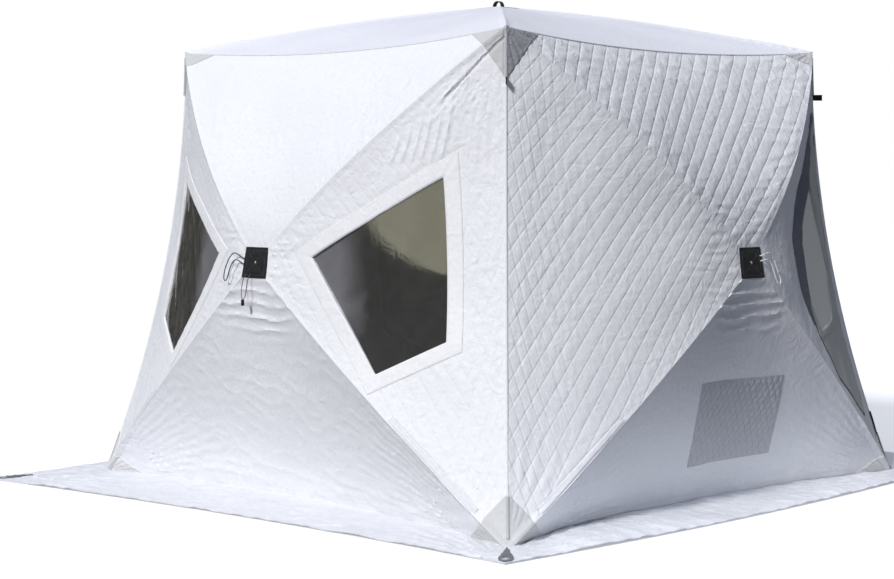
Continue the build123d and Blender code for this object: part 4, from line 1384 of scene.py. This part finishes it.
# ---------------------------------------------------------------------------------------------
# Patches: grey cloth triangles that cap each eave and ground corner, pleated where the poles'
# tips pull on them, and a quilted grey panel low down on the right and left walls.
# ---------------------------------------------------------------------------------------------
PATCH_LEG, PATCH_FOOT_LEG, PATCH_PROUD = 0.190, 0.235, 0.0030
SLEEVE_OUT, SLEEVE_WIDTH, SLEEVE_LENGTH = 0.0125, 0.019, 0.66
patch_finish = cloth("corner_patch_cloth", shades(204, 205, 206), roughness=0.62, crumple=1.0)
# painted shade: a darker copy of the grey patch cloth, for the side walls' eave halves at the front right and
# back left
shaded_finish = cloth("corner_patch_cloth_painted_shade", shades(150, 151, 158), roughness=0.62, crumple=1.5)
ground_finish = cloth("ground_patch_cloth", shades(206, 207, 208), roughness=0.62, crumple=1.0)
# painted light: a lighter copy of the grey ground-patch cloth, for the ground patches at the other corners
painted_light_patch_finish = cloth("patch_cloth_painted_light", shades(225, 225, 225), roughness=0.62, crumple=1.0)


def seam_from(seam, corner):
    """Flat places along a seam, starting at a corner."""
    line = curve_points(seam, 500)[:, [0, 2]]
    return line if np.linalg.norm(line[0] - corner) < np.linalg.norm(line[-1] - corner) else line[::-1]


def crossed(a, b):
    """Cross product of flat vectors."""
    return a[..., 0] * b[..., 1] - a[..., 1] * b[..., 0]


def pleats(points, corner, first, last, count, tall, seed):
    """Folds that run out from a corner between two directions, none at the two edges."""
    a, b, away = first - corner, last - corner, points - corner
    turn = np.arctan2(crossed(a, b), (a * b).sum(-1))
    share = np.arctan2(crossed(a, away), away @ a) / turn
    length = np.linalg.norm(away, axis=1)
    wander = 0.30 * ripple(np.stack([length * 9, share * 2.2, length * 0 + seed], -1), 1.0, seed)
    within = np.clip(share, 0, 1)
    off_edge = np.sin(math.pi * within)
    wave = np.abs(np.sin(math.pi * (within * count + wander * off_edge)))
    return tall * (wave ** 0.75 - 0.35) * np.clip(off_edge, 0, 1) ** 0.4 * step_up(length, 0.012, 0.075)


def corner_patch(name, wall, side, corner, rim, pole, finish, counts, tall, seed):
    """The two halves of a corner patch on one wall, either side of the pole that ends there."""
    seams = {"rim": rim, "pole": pole, "upright": upright_seam(side)}
    lines = {kind: seam_from(seam, corner) for kind, seam in seams.items()}
    high = corner[1] > 1
    legs = {"upright": PATCH_LEG, "rim": PATCH_LEG if high else PATCH_FOOT_LEG}
    ends = {kind: lines[kind][run_of(lines[kind]) <= leg] for kind, leg in legs.items()}
    cut = ends["upright"][-1] - ends["rim"][-1]
    within = crossed(cut, lines["pole"] - ends["rim"][-1]) * crossed(cut, corner - ends["rim"][-1]) > 0
    ends["pole"] = lines["pole"][:int(np.argmin(within) * (0.72 if high else 0.86))]
    panels = {"rim": "top" if high else "bottom", "upright": side}
    made = []
    for kind, count, fold in zip(("rim", "upright"), counts, tall):
        ring = evened(np.concatenate([ends[kind], ends["pole"][::-1]]), 0.006)
        panel = panels[kind]

        def face(p):
            low = panel_height(panel, wall, p)
            folds = pleats(p, corner, ends[kind][-1], ends["pole"][-1], count, fold, seed)
            ridge = 0.0
            if not high and kind == "upright":          # the pole's sleeve runs on under the patch
                gap = gap_to(p, lines["pole"])[0]
                tall_ridge = 0.0070 if wall in DOOR_SIDE else 0.0030
                off_middle = (gap - SLEEVE_OUT) / (SLEEVE_WIDTH / 2)
                ridge = tall_ridge * np.clip(1 - off_middle ** 2, 0, None) ** 0.6 \
                    * step_up(np.linalg.norm(p - corner, axis=1), 0.03, 0.07)
                folds = folds * step_up(gap, 0.020, 0.030)
            return on_panel(panel, p, low + PATCH_PROUD + np.maximum(folds, -0.0012) + ridge)

        points = even_rows(ring, 0.0048)
        if (wall, side) in LAP_WALLS and high:
            extra = lap_points()
            points = np.concatenate([points[gap_to(points, extra)[0] > 0.003], extra])
        made.append(sheet_mesh(f"{name}_{kind}", [ring], points, face, lambda p: on_panel(panel, p, -0.002),
                               finish, wall, margin=0.004, alike=True))
    return made


# The patches at the front right and back left are darker: the side walls' eave halves there carry painted
# shade, and the ground patches there are grey, where the other corners' ground patches carry painted light
patches = {"eave": [], "shaded": [], "ground": [], "painted_light": []}
for wall in WALLS:
    for side in (-1, 1):
        side_wall = wall in DOOR_SIDE
        near = side_wall == (side < 0)
        kind, finish = ("shaded", shaded_finish) if side_wall and near else ("eave", patch_finish)
        counts, tall = ((2.6, 4.5), (0.0055, 0.0085)) if side_wall else ((2.0, 3.4), (0.0005, 0.0014))
        patches[kind] += corner_patch(f"{wall}_eave_patch_{side}", wall, side, EAVE_FLAT[side], EAVE_SEAM,
                                      UPPER[side], finish, counts, tall, 51 + side)
        kind, finish = ("ground", ground_finish) if near else ("painted_light", painted_light_patch_finish)
        counts, tall = ((5.4, 5.0), (0.0065, 0.0065)) if side_wall else ((5.2, 2.2), (0.0065, 0.0014))
        patches[kind] += corner_patch(f"{wall}_ground_patch_{side}", wall, side, FOOT_FLAT[side], BASE_SEAM,
                                      LOWER[side], finish, counts, tall, 61 + side)
dress(merged("eave_corner_patches", patches["eave"]), "patch_cloth", "top_corner_patches")
dress(merged("side_eave_corner_patches", patches["shaded"]), "patch_cloth")
dress(merged("ground_corner_patches_cloth", patches["ground"]), "patch_cloth", "ground_corner_patches")
dress(merged("painted_light_ground_corner_patches", patches["painted_light"]), "patch_cloth")

QUILT_CORNERS = np.array([(-0.142, 0.162), (0.376, 0.166), (0.315, 0.500), (-0.202, 0.500)])
QUILT_ANGLE, QUILT_PITCH = math.radians(56), 0.030
quilt_finish = cloth("grey_quilted_patch", shades(198, 199, 204), crumple=1.6, thread=shades(170, 171, 177),
                     quilting=[(QUILT_ANGLE, QUILT_PITCH, 1.0), (-QUILT_ANGLE, QUILT_PITCH, 1.0)])
quilts = []
for wall, side in DOOR_SIDE.items():
    corners = QUILT_CORNERS * [side, 1]
    ring = evened(np.concatenate([np.linspace(a, b, 30, endpoint=False)
                                  for a, b in zip(corners, np.roll(corners, -1, axis=0))]), 0.007)

    def quilted(p):
        low = panel_height("bottom", wall, p)
        edge = step_up(gap_to(p, ring)[0], 0.004, 0.018)
        puff = puffed(p, QUILT_ANGLE, QUILT_PITCH, -QUILT_ANGLE, QUILT_PITCH, 0.6, 0.7)
        return on_panel("bottom", p, low + 0.0022 + 0.0034 * puff * edge)

    quilts.append(sheet_mesh(f"{wall}_quilt", [ring], even_rows(ring, 0.0065), quilted,
                             lambda p: on_panel("bottom", p, -0.001), quilt_finish, wall, margin=0.004))
dress(merged("quilted_wall_patches", quilts), "quilt_cloth", "quilted_patches")

# ---------------------------------------------------------------------------------------------
# Seams: white piping down the uprights, greyer under the patches, and along the eaves, sleeves
# beside the lower poles, and rows of stitching beside the poles and sleeves and along the foot.
# ---------------------------------------------------------------------------------------------
PIPING, CAPPED_PIPING, EAVE_PIPING = 0.0048, 0.0058, 0.0030
piping_finish = cloth("piping", shades(233, 234, 237), crumple=0.3)
capped_piping = cloth("capped_piping", shades(188, 189, 192), crumple=0.3)


def tube(name, line, radius, material):
    """Round cord along a line in space."""
    ahead = unit(np.gradient(line, axis=0))
    out = line - MIDDLE
    out -= (out * ahead).sum(axis=1, keepdims=True) * ahead
    out = unit(out)
    across = np.cross(ahead, out)
    turn = np.linspace(0, 2 * math.pi, 8, endpoint=False)
    rows = line[:, None] + radius * (out[:, None] * np.cos(turn)[None, :, None]
                                     + across[:, None] * np.sin(turn)[None, :, None])
    return loft(name, rows, cut_grid(run_of(line), turn * radius), material)


def clear_of_corners(line, corners, distance):
    """The part of a line that lies farther than a distance from any of the corners."""
    away = np.min([np.linalg.norm(line - corner, axis=1) for corner in corners], axis=0)
    return line[away > distance]


CAPPED_TOP, CAPPED_FOOT = 0.180, 0.168         # heights over which the patches cap the uprights
uprights, eaves, capped, shade_line_rows = [], [], [], []
for wall in WALLS:
    low, high = CAPPED_FOOT, EAVE_HEIGHT - CAPPED_TOP
    seam = curve_points(upright_seam(1), 160)
    between = seam[(seam[:, 2] > low) & (seam[:, 2] < high)]
    line = turned(raised(between, -0.0012), wall)
    uprights.append(tube(f"{wall}_upright_piping", line, PIPING, piping_finish))
    above, under = seam[seam[:, 2] >= high - 0.012], seam[seam[:, 2] <= low + 0.012]
    above, under = above[np.argsort(above[:, 2])][:-2], under[np.argsort(under[:, 2])][3:]
    for number, part in enumerate((above, under)):
        line = turned(raised(part, 0.0036), wall)
        capped.append(tube(f"{wall}_capped_piping_{number}", line, CAPPED_PIPING, capped_piping))
    # stitch rows on the eave patches beside the piping: real stitches, whose dark grey thread is painted
    # shade for the grooves beside the piping
    for side in (-1, 1):
        line = curve_points(upright_seam(side), 300)[:, [0, 2]]
        line = line[(line[:, 1] > high) & (line[:, 1] < EAVE_HEIGHT - 0.012)] - [side * 0.0098, 0]
        shade_line_rows.append(sewn(line, side, wall, 0.0062, PATCH_PROUD + 0.0010, False))
    line = turned(raised(curve_points(EAVE_SEAM, 110)[1:-1], 0.0010), wall)
    eaves.append(tube(f"{wall}_eave_piping", line, EAVE_PIPING, piping_finish))
dress(merged("seam_piping", uprights + eaves), "wall_cloth")
dress(merged("capped_piping", capped), "patch_cloth")
beads("patch_stitches", shade_line_rows, 0.0056, 0.0016, 0.0012, dark_thread, "patch_cloth")

# painted shade: the sleeves' white cloth is made a little greyer so that their ridges catch less light
sleeve_finish = cloth("pole_sleeve_cloth", shades(228, 229, 234), crumple=0.9)
sleeves, sleeve_rows = [], []
for wall in WALLS:
    for side in (-1, 1):
        if DOOR_SIDE.get(wall) == side:
            continue
        line = seam_from(LOWER[side], FOOT_FLAT[side])
        length = run_of(line)
        line = line[(length > PATCH_LEG * 0.94) & (length < SLEEVE_LENGTH)][::3]
        rise = 0.0080 if wall in DOOR_SIDE else 0.0030
        sign = 1 if inside(along_ring(line, 0.012, False)[40:41], panel_ring(side))[0] else -1
        fade = 1 - step_up(run_of(line), SLEEVE_LENGTH * 0.35, SLEEVE_LENGTH - 0.06)
        start = step_up(run_of(line), 0.0, 0.020)
        arc = np.linspace(0, math.pi, 9)
        section = [(sign * (SLEEVE_OUT + SLEEVE_WIDTH / 2 * math.cos(turn)), math.sin(turn)) for turn in arc]
        under_side = [(sign * SLEEVE_OUT + SLEEVE_WIDTH / 2 * sign * share, -0.25)
                      for share in (-0.8, 0.0, 0.8)]
        rows = []
        for offset, tall in section + under_side:
            flat = along_ring(line, offset, False)
            low = panel_height(side, wall, flat)
            rows.append(turned(on_panel(side, flat, low + rise * tall * (0.10 + 0.90 * fade * start)), wall))
        rows = np.stack(rows, axis=1)
        wide = np.array([offset for offset, _ in section + under_side])
        cuts = cut_grid(run_of(line), wide)
        sleeves.append(loft(f"{wall}_sleeve_{side}", rows, cuts, sleeve_finish, sharp=80))
        for offset in (-0.0008, 0.0262):
            edge = along_ring(line, sign * offset, False)[20:]
            sleeve_rows.append(sewn(edge, side, wall, 0.0085, 0.0004, False))
dress(merged("pole_sleeves", sleeves), "wall_cloth")
beads("sleeve_stitches", sleeve_rows, 0.0056, 0.0014, 0.0010, dark_thread, "wall_cloth")

STITCHES_FROM = PATCH_FOOT_LEG + 0.01
rows = []
for wall in WALLS:
    for side in (-1, 1):
        for seam, panels in ((UPPER[side], ("top", side)), (LOWER[side], ("bottom", side))):
            line = curve_points(seam, 300)[:, [0, 2]]
            ahead = unit(np.gradient(line, axis=0))
            for sign in (-1, 1):
                moved = (line + sign * 0.0165 * np.stack([ahead[:, 1], -ahead[:, 0]], -1))[6:-40]
                panel = next(p for p in panels if inside(moved[130:131], panel_ring(p))[0])
                moved = clear_of_corners(moved, (EAVE_FLAT[side], FOOT_FLAT[side]), STITCHES_FROM)
                rows.append(sewn(moved, panel, wall, 0.0095, 0.0004, False))
    edge = curve_points(BASE_SEAM, 300)[:, [0, 2]] + [0, 0.036]
    edge = clear_of_corners(edge, [FOOT_FLAT[side] for side in (-1, 1)], STITCHES_FROM)
    rows.append(sewn(edge, "bottom", wall, 0.0095, 0.0006, False))
beads("seam_stitches", rows, 0.0060, 0.0012, 0.0011, thread_finish, "wall_cloth")

# ---------------------------------------------------------------------------------------------
# Webbing: squares over the five hubs, sewn round and crossed, with rivets on the walls, the
# roof's strap, the uprights' guy tabs, a strip at one foot and the skirt corners' peg tabs.
# ---------------------------------------------------------------------------------------------
def webbing(name, colour):
    """Ribbed nylon webbing, paler where it is worn, with painted shade in the grooves of its weave."""
    ribs = 150.0
    finish = Finish(name)
    cut = finish.node("TexCoord").outputs["UV"]
    across = finish.wave("X", cut, ribs)
    along = finish.wave("Y", cut, ribs * 0.6)
    woven = finish.maths("MULTIPLY", across, along)
    worn = finish.grain(finish.node("TexCoord").outputs["Object"], 40.0, Detail=4.0)
    shade = finish.blend(finish.ramp(worn, 0.40, 0.75), colour, times(colour, 2.0))
    # painted shade: darker in the grooves of the weave, following the same woven height as the bump
    shade = finish.blend(woven, times(colour, 0.6), shade)
    surface = finish.node("BsdfPrincipled", Base_Color=shade, Roughness=0.62, Sheen_Weight=0.10,
                          Specular_IOR_Level=0.3, Normal=finish.bump(woven, 0.0003))
    return finish.done(surface.outputs[0])


black_webbing = webbing("black_webbing", shades(26, 26, 28))
light_thread = cloth("light_thread", shades(120, 121, 124), roughness=0.7, crumple=0.0)


def square(name, corners, hub_out, wall, seed, material):
    """Square over a hub, pressed out by it, with a turned edge, and the stitches of its rim and cross."""
    a, b, c, d = corners                            # upper left, upper right, lower left, lower right

    def spots(s, t):
        """Places on the flat square, their distance from its middle, and how far the hub presses them out."""
        flat = (((1 - s) * (1 - t))[:, None] * a + (s * (1 - t))[:, None] * b
                + ((1 - s) * t)[:, None] * c + (s * t)[:, None] * d)
        radius = np.hypot(s - 0.5, t - 0.5) * HUB_PATCH
        return flat, radius, 0.0026 * (1 - step_up(radius, 0.038, 0.056))

    count = 40
    u, v = (grid.ravel() for grid in np.meshgrid(np.linspace(0, 1, count), np.linspace(0, 1, count)))
    flat, radius, pressed = spots(u, v)
    off_cross = np.minimum(np.abs(u - v), np.abs(u + v - 1)) * HUB_PATCH
    edge = np.minimum(np.minimum(u, 1 - u), np.minimum(v, 1 - v)) * HUB_PATCH
    height = HUB_PATCH_PROUD + pressed - 0.0022 * (1 - step_up(radius, 0.006, 0.014))
    height -= 0.0014 * np.exp(-(off_cross / 0.0022) ** 2) * step_up(edge, 0.010, 0.014)
    height -= 0.0014 * np.exp(-((edge - 0.0125) / 0.0016) ** 2)
    height += 0.0012 * ripple(flat, 0.030, seed) * step_up(edge, 0.0, 0.02)
    verts = np.concatenate([flat + hub_out * height[:, None], shrunk(flat, depth(CLOTH))])
    faces, first, last = [], count * count, count - 1
    for j in range(last):
        for i in range(last):
            k = j * count + i
            m = first + k
            faces += [(k, k + count, k + count + 1, k + 1), (m, m + 1, m + count + 1, m + count)]
    rim = (list(range(count)) + [j * count + last for j in range(1, count)]
           + [last * count + i for i in range(last - 1, -1, -1)]
           + [j * count for j in range(last - 1, 0, -1)])
    faces += [(p, q, first + q, first + p) for p, q in zip(rim, rim[1:] + rim[:1])]
    cuts = np.concatenate([np.stack([u, v], -1)] * 2) * HUB_PATCH
    made = built(name, turned(verts, wall), faces, cuts, material, 50)
    low, high, rows = 0.10, 1 - 0.10, []
    for s0, t0, s1, t1 in ((low, low, high, low), (high, low, high, high), (high, high, low, high),
                           (low, high, low, low), (low, low, 0.42, 0.42), (0.58, 0.58, high, high),
                           (high, low, 0.58, 0.42), (0.42, 0.58, low, high)):
        number = int(np.hypot(s1 - s0, t1 - t0) * HUB_PATCH / 0.006)
        at = (np.arange(number) + 0.5) / number
        flat, _, pressed = spots(s0 + (s1 - s0) * at, t0 + (t1 - t0) * at)
        p = turned(flat + hub_out * (HUB_PATCH_PROUD + 0.0002 + pressed)[:, None], wall)
        rows.append((p, unit(np.gradient(p, axis=0)), np.tile(turned(hub_out, wall), (len(p), 1))))
    return made, rows


def stud(name, middle, out, material):
    """Domed rivet that holds the webbing to the hub."""
    across = np.cross(out, [0.3, 0.5, 0.8])
    across /= np.linalg.norm(across)
    other = np.cross(out, across)
    turn = np.linspace(0, 2 * math.pi, 24, endpoint=False)
    ring = across * np.cos(turn)[:, None] + other * np.sin(turn)[:, None]
    section = [(0.0062, -0.0030), (0.0064, 0.0004), (0.0060, 0.0013), (0.0048, 0.0020), (0.0030, 0.0024),
               (0.0008, 0.0026)]
    rows = np.stack([middle + ring * radius + out * up for radius, up in section])
    return loft(name, rows, rows[..., :2], material, sharp=60)


nickel = Finish("nickel_rivet")
scuffs = nickel.grain(nickel.node("TexCoord").outputs["Object"], 300.0)
nickel_shade = nickel.blend(scuffs, (0.55, 0.55, 0.56, 1), (0.78, 0.78, 0.78, 1))
nickel.done(nickel.node("BsdfPrincipled", Base_Color=nickel_shade, Metallic=1.0, Roughness=0.35).outputs[0])
squares, cross_rows, studs = [], [], []
for wall in WALLS:
    made, rows = square(f"{wall}_hub_square", np.array(WALL_PATCH), PATCH_OUT, wall, 71 + WALLS[wall],
                        black_webbing)
    squares.append(made)
    cross_rows += rows
    centre = np.mean(WALL_PATCH, axis=0) + PATCH_OUT * (HUB_PATCH_PROUD + 0.0006)
    studs.append(stud(f"{wall}_stud", turned(centre, wall), turned(PATCH_OUT, wall), nickel.material))
eaves_round = [turned(EAVE[1], "back"), turned(EAVE[-1], "back"), EAVE[-1], EAVE[1]]
roof_corners = np.array(patch_corners(ROOF_HUB, eaves_round))
made, _ = square("roof_hub_square", roof_corners, np.array([0.0, 0.0, 1.0]), "front", 79, patch_finish)
dress(made, "patch_cloth")
dress(merged("hub_webbing", squares), "black_webbing", "hub_patches")
beads("hub_stitches", cross_rows, 0.0042, 0.0010, 0.0009, light_thread, "black_webbing")
dress(merged("hub_studs", studs), "eyelet")


def ribbon(name, line, across, width, thick, material):
    """Flat webbing along a line, its width along one direction."""
    ahead = unit(np.gradient(line, axis=0))
    up = unit(np.cross(across, ahead))
    half, t = width / 2, thick / 2
    section = [(-half, -t * 0.6), (-half, t * 0.6), (-half * 0.96, t), (0, t * 0.85), (half * 0.96, t),
               (half, t * 0.6), (half, -t * 0.6), (half * 0.96, -t), (0, -t * 0.85), (-half * 0.96, -t)]
    rows = np.stack([line + across * w + up * h for w, h in section], axis=1)
    return loft(name, rows, cut_grid(run_of(line), np.array([w for w, _ in section])), material)


STRAP_SPAN, STRAP_RISE, STRAP_WIDTH, WEBBING = 0.048, 0.0295, 0.022, 0.0022
strap_foot = roof_corners.mean(axis=0)[2] + HUB_PATCH_PROUD + 0.0010
turn = np.linspace(0, math.pi, 29)
arch = np.stack([-STRAP_SPAN / 2 * np.cos(turn), turn * 0,
                 strap_foot + (STRAP_RISE - 0.001) * np.sin(turn) ** 0.8], -1)
tail = np.array([[x, 0, strap_foot + 0.0006] for x in (-0.042, -0.034, -0.027)])
line = np.concatenate([tail, arch[1:-1], tail[::-1] * [-1, 1, 1]])
strap = ribbon("roof_webbing_strap", line, np.array([0.0, 1.0, 0.0]), STRAP_WIDTH, WEBBING, black_webbing)
dress(strap, "black_webbing", "roof_strap")

TAB_DROP, TAB_REACH, TAB_WIDE = 0.190, 0.044, 0.025
tabs = []
for wall in WALLS:
    seam = curve_points(upright_seam(1), 200)
    root_place = seam[int(np.abs(seam[:, 2] - (EAVE_HEIGHT - TAB_DROP)).argmin())]
    swing = math.radians(-152 if wall == "left" else -45)   # the front left tab is folded round the corner
    out = np.array([math.cos(swing), math.sin(swing), 0.0])
    sideways = np.array([-math.sin(swing), math.cos(swing), 0.0])
    turn = np.linspace(0, math.pi, 11)
    reach = TAB_REACH - 0.0026
    near = np.linspace(0.0 if wall == "left" else -0.010, reach, 9)
    line = np.concatenate([root_place + out * near[:, None] + sideways * 0.0013,
                           root_place + out * (reach + 0.0013 * np.sin(turn))[1:-1, None]
                           + sideways * (0.0013 * np.cos(turn))[1:-1, None],
                           root_place + out * near[::-1, None] - sideways * 0.0013])
    tabs.append(ribbon(f"{wall}_guy_tab", turned(line, wall), np.array([0.0, 0.0, 1.0]), TAB_WIDE, 0.0016,
                       black_webbing))
dress(merged("guy_line_tabs", tabs), "black_webbing", "guy_tabs")

side = DOOR_SIDE["right"]
line = seam_from(upright_seam(side), FOOT_FLAT[side])
line = line[(run_of(line) > 0.012) & (run_of(line) < 0.285)][::2]
sign = 1 if inside(along_ring(line, 0.012, False)[12:13], panel_ring(side))[0] else -1
rows = []
for offset, tall in ((0.002, 0.0030), (0.0024, 0.0062), (0.0100, 0.0068), (0.0186, 0.0062), (0.0190, 0.0030),
                     (0.0100, 0.0008)):
    flat = along_ring(line, sign * offset, False)
    height = panel_height(side, "right", flat) + PATCH_PROUD * 0.6 + tall
    rows.append(turned(on_panel(side, flat, height), "right"))
tape = loft("right_foot_tape", np.stack(rows, axis=1), cut_grid(run_of(line), np.linspace(0, 0.040, 6)),
            black_webbing)
dress(merged("door_foot_tapes", [tape]), "black_webbing")

EYELET_INSET, EYELET_HOLE, EYELET_RIM = 0.046, 0.008, 0.015
grey_webbing = webbing("grey_webbing", shades(120, 121, 126))
peg_pieces, rims, corner_pieces = [], [], []
for wall in WALLS:
    tip = skirt_tip(1, wall)[:2]
    corner = FOOT[1][:2]
    inwards = (corner - tip) / np.linalg.norm(corner - tip)
    sideways = np.array([-inwards[1], inwards[0]])
    reach = float(np.linalg.norm(corner - tip))
    pulled = reach > 0.40                           # the tab of a pulled corner ends well before the foot
    reach = 0.19 if pulled else reach
    half = [(0.012, 0.006), (0.030, 0.019), (0.046, 0.0245), (0.070, 0.0265), (0.110, 0.0225),
            (reach * 0.62, 0.0125), (reach - 0.018, 0.0045)]
    ring = evened(np.concatenate([[tip + inwards * a + sideways * b for a, b in half],
                                  [tip + inwards * a - sideways * b for a, b in half[::-1]]]), 0.005)
    eye = towards(tip, corner, EYELET_INSET)
    turn = np.linspace(0, 2 * math.pi, 40, endpoint=False)
    circle = eye + 0.0145 * np.stack([np.cos(turn), np.sin(turn)], -1)

    cut = towards(tip, corner, PEG_TAB + 0.006)
    outer = skirt_lines(wall)[1]
    beside_wall = {"front": "right", "right": "back", "back": "left", "left": "front"}[wall]
    beside = turned(np.pad(skirt_lines(beside_wall)[1], ((0, 0), (0, 1))), "right")[:, :2]
    ends = [line[(line - cut) @ inwards < 0] for line in (outer, beside)]
    ends = [line[np.argsort(np.linalg.norm(line - tip, axis=1))] for line in ends]
    piece_ring = evened(np.concatenate([[tip], ends[0][1:], [cut], ends[1][:0:-1]]), 0.006)
    corner_pieces.append(sheet_mesh(
        f"{wall}_skirt_corner", [piece_ring, circle], even_rows(piece_ring, 0.008),
        lambda p: level(p, p[:, 0] * 0 + 0.0068 + 0.0012 * ripple(np.pad(p, ((0, 0), (0, 1))), 0.03, 84)),
        lambda p: level(p, p[:, 0] * 0 + 0.0006), skirt_finish, wall, margin=0.003, alike=True))

    def tab_height(p):
        away = np.linalg.norm(p - eye, axis=1)
        edge = gap_to(p, ring)[0]
        waves = ripple(np.concatenate([p, p[:, :1] * 0], axis=1), 0.030, 81 + WALLS[wall])
        folds = 0.0022 * crease(waves, 0.35)
        inward = (p - tip) @ inwards
        bow = np.sin(math.pi * np.clip((inward - 0.066) / (reach - 0.10), 0, 1))
        arch = (0.003 if pulled else 0.010) * bow * step_up(edge, 0.0, 0.016)
        height = 0.0096 + folds * step_up(away, 0.020, 0.035) + 0.0012 * step_up(edge, 0.0, 0.008) + arch
        return height - 0.0008 * np.exp(-((edge - 0.010) / 0.0016) ** 2)

    peg_pieces.append(sheet_mesh(f"{wall}_peg_tab", [ring, circle], even_rows(ring, 0.005),
                                 lambda p: level(p, tab_height(p)), lambda p: level(p, p[:, 0] * 0 + 0.0070),
                                 grey_webbing, wall, margin=0.003, alike=True))
    section = [(EYELET_HOLE, 0.0006), (EYELET_HOLE, 0.0108), (0.0088, 0.0122), (0.0104, 0.0127),
               (0.0128, 0.0122), (0.0146, 0.0108), (EYELET_RIM, 0.0094), (EYELET_RIM, 0.0006)]
    rows = np.stack([np.stack([eye[0] + r * np.cos(turn), eye[1] + r * np.sin(turn), turn * 0 + z], -1)
                     for r, z in section], axis=1)
    rims.append(loft(f"{wall}_eyelet", turned(rows, wall), rows[..., :2], nickel.material, closed=True,
                     sharp=50))
dress(merged("peg_webbing_tabs", peg_pieces), "black_webbing", "peg_tabs")
dress(merged("skirt_corner_cloth", corner_pieces), "skirt_cloth")
dress(merged("eyelet_rims", rims), "eyelet", "peg_eyelets")

# ---------------------------------------------------------------------------------------------
# Frame: glass-fibre poles from each hub to the corners, their moulded hubs, the rubber tips in
# the corner pockets, and the bead on the front's lower cord.  These keep the part's own solids.
# ---------------------------------------------------------------------------------------------
def moulded(name, colour, roughness, grain, coat=0.0):
    """Moulded plastic or rubber with a fine grain."""
    finish = Finish(name)
    place = finish.node("TexCoord").outputs["Object"]
    rough = finish.grain(place, grain, Detail=3.0)
    shade = finish.blend(finish.ramp(rough, 0.3, 0.7), colour, times(colour, 1.25))
    surface = finish.node("BsdfPrincipled", Base_Color=shade, Roughness=roughness, Coat_Weight=coat,
                          Normal=finish.bump(rough, 0.0001))
    return finish.done(surface.outputs[0])


FRAME = {
    "pole": moulded("glass_fibre", shades(52, 54, 58), 0.38, 380.0, coat=0.2),
    "hub_plastic": moulded("hub_nylon", shades(34, 35, 38), 0.5, 520.0),
    "tip_rubber": moulded("tip_rubber", shades(40, 40, 42), 0.8, 260.0),
    "dark_cord": moulded("bead_plastic", shades(30, 31, 34), 0.35, 300.0),
}
FRAME_NODES = {
    "pole": [f"{wall}_wall_poles" for wall in WALLS] + ["roof_poles"],
    "hub_plastic": ["pole_hubs"], "tip_rubber": ["pole_tips"], "dark_cord": ["cord_toggle"],
}
for kind, names in FRAME_NODES.items():
    for name in names:
        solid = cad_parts[name]
        solid.data.materials.clear()
        solid.data.materials.append(FRAME[kind])
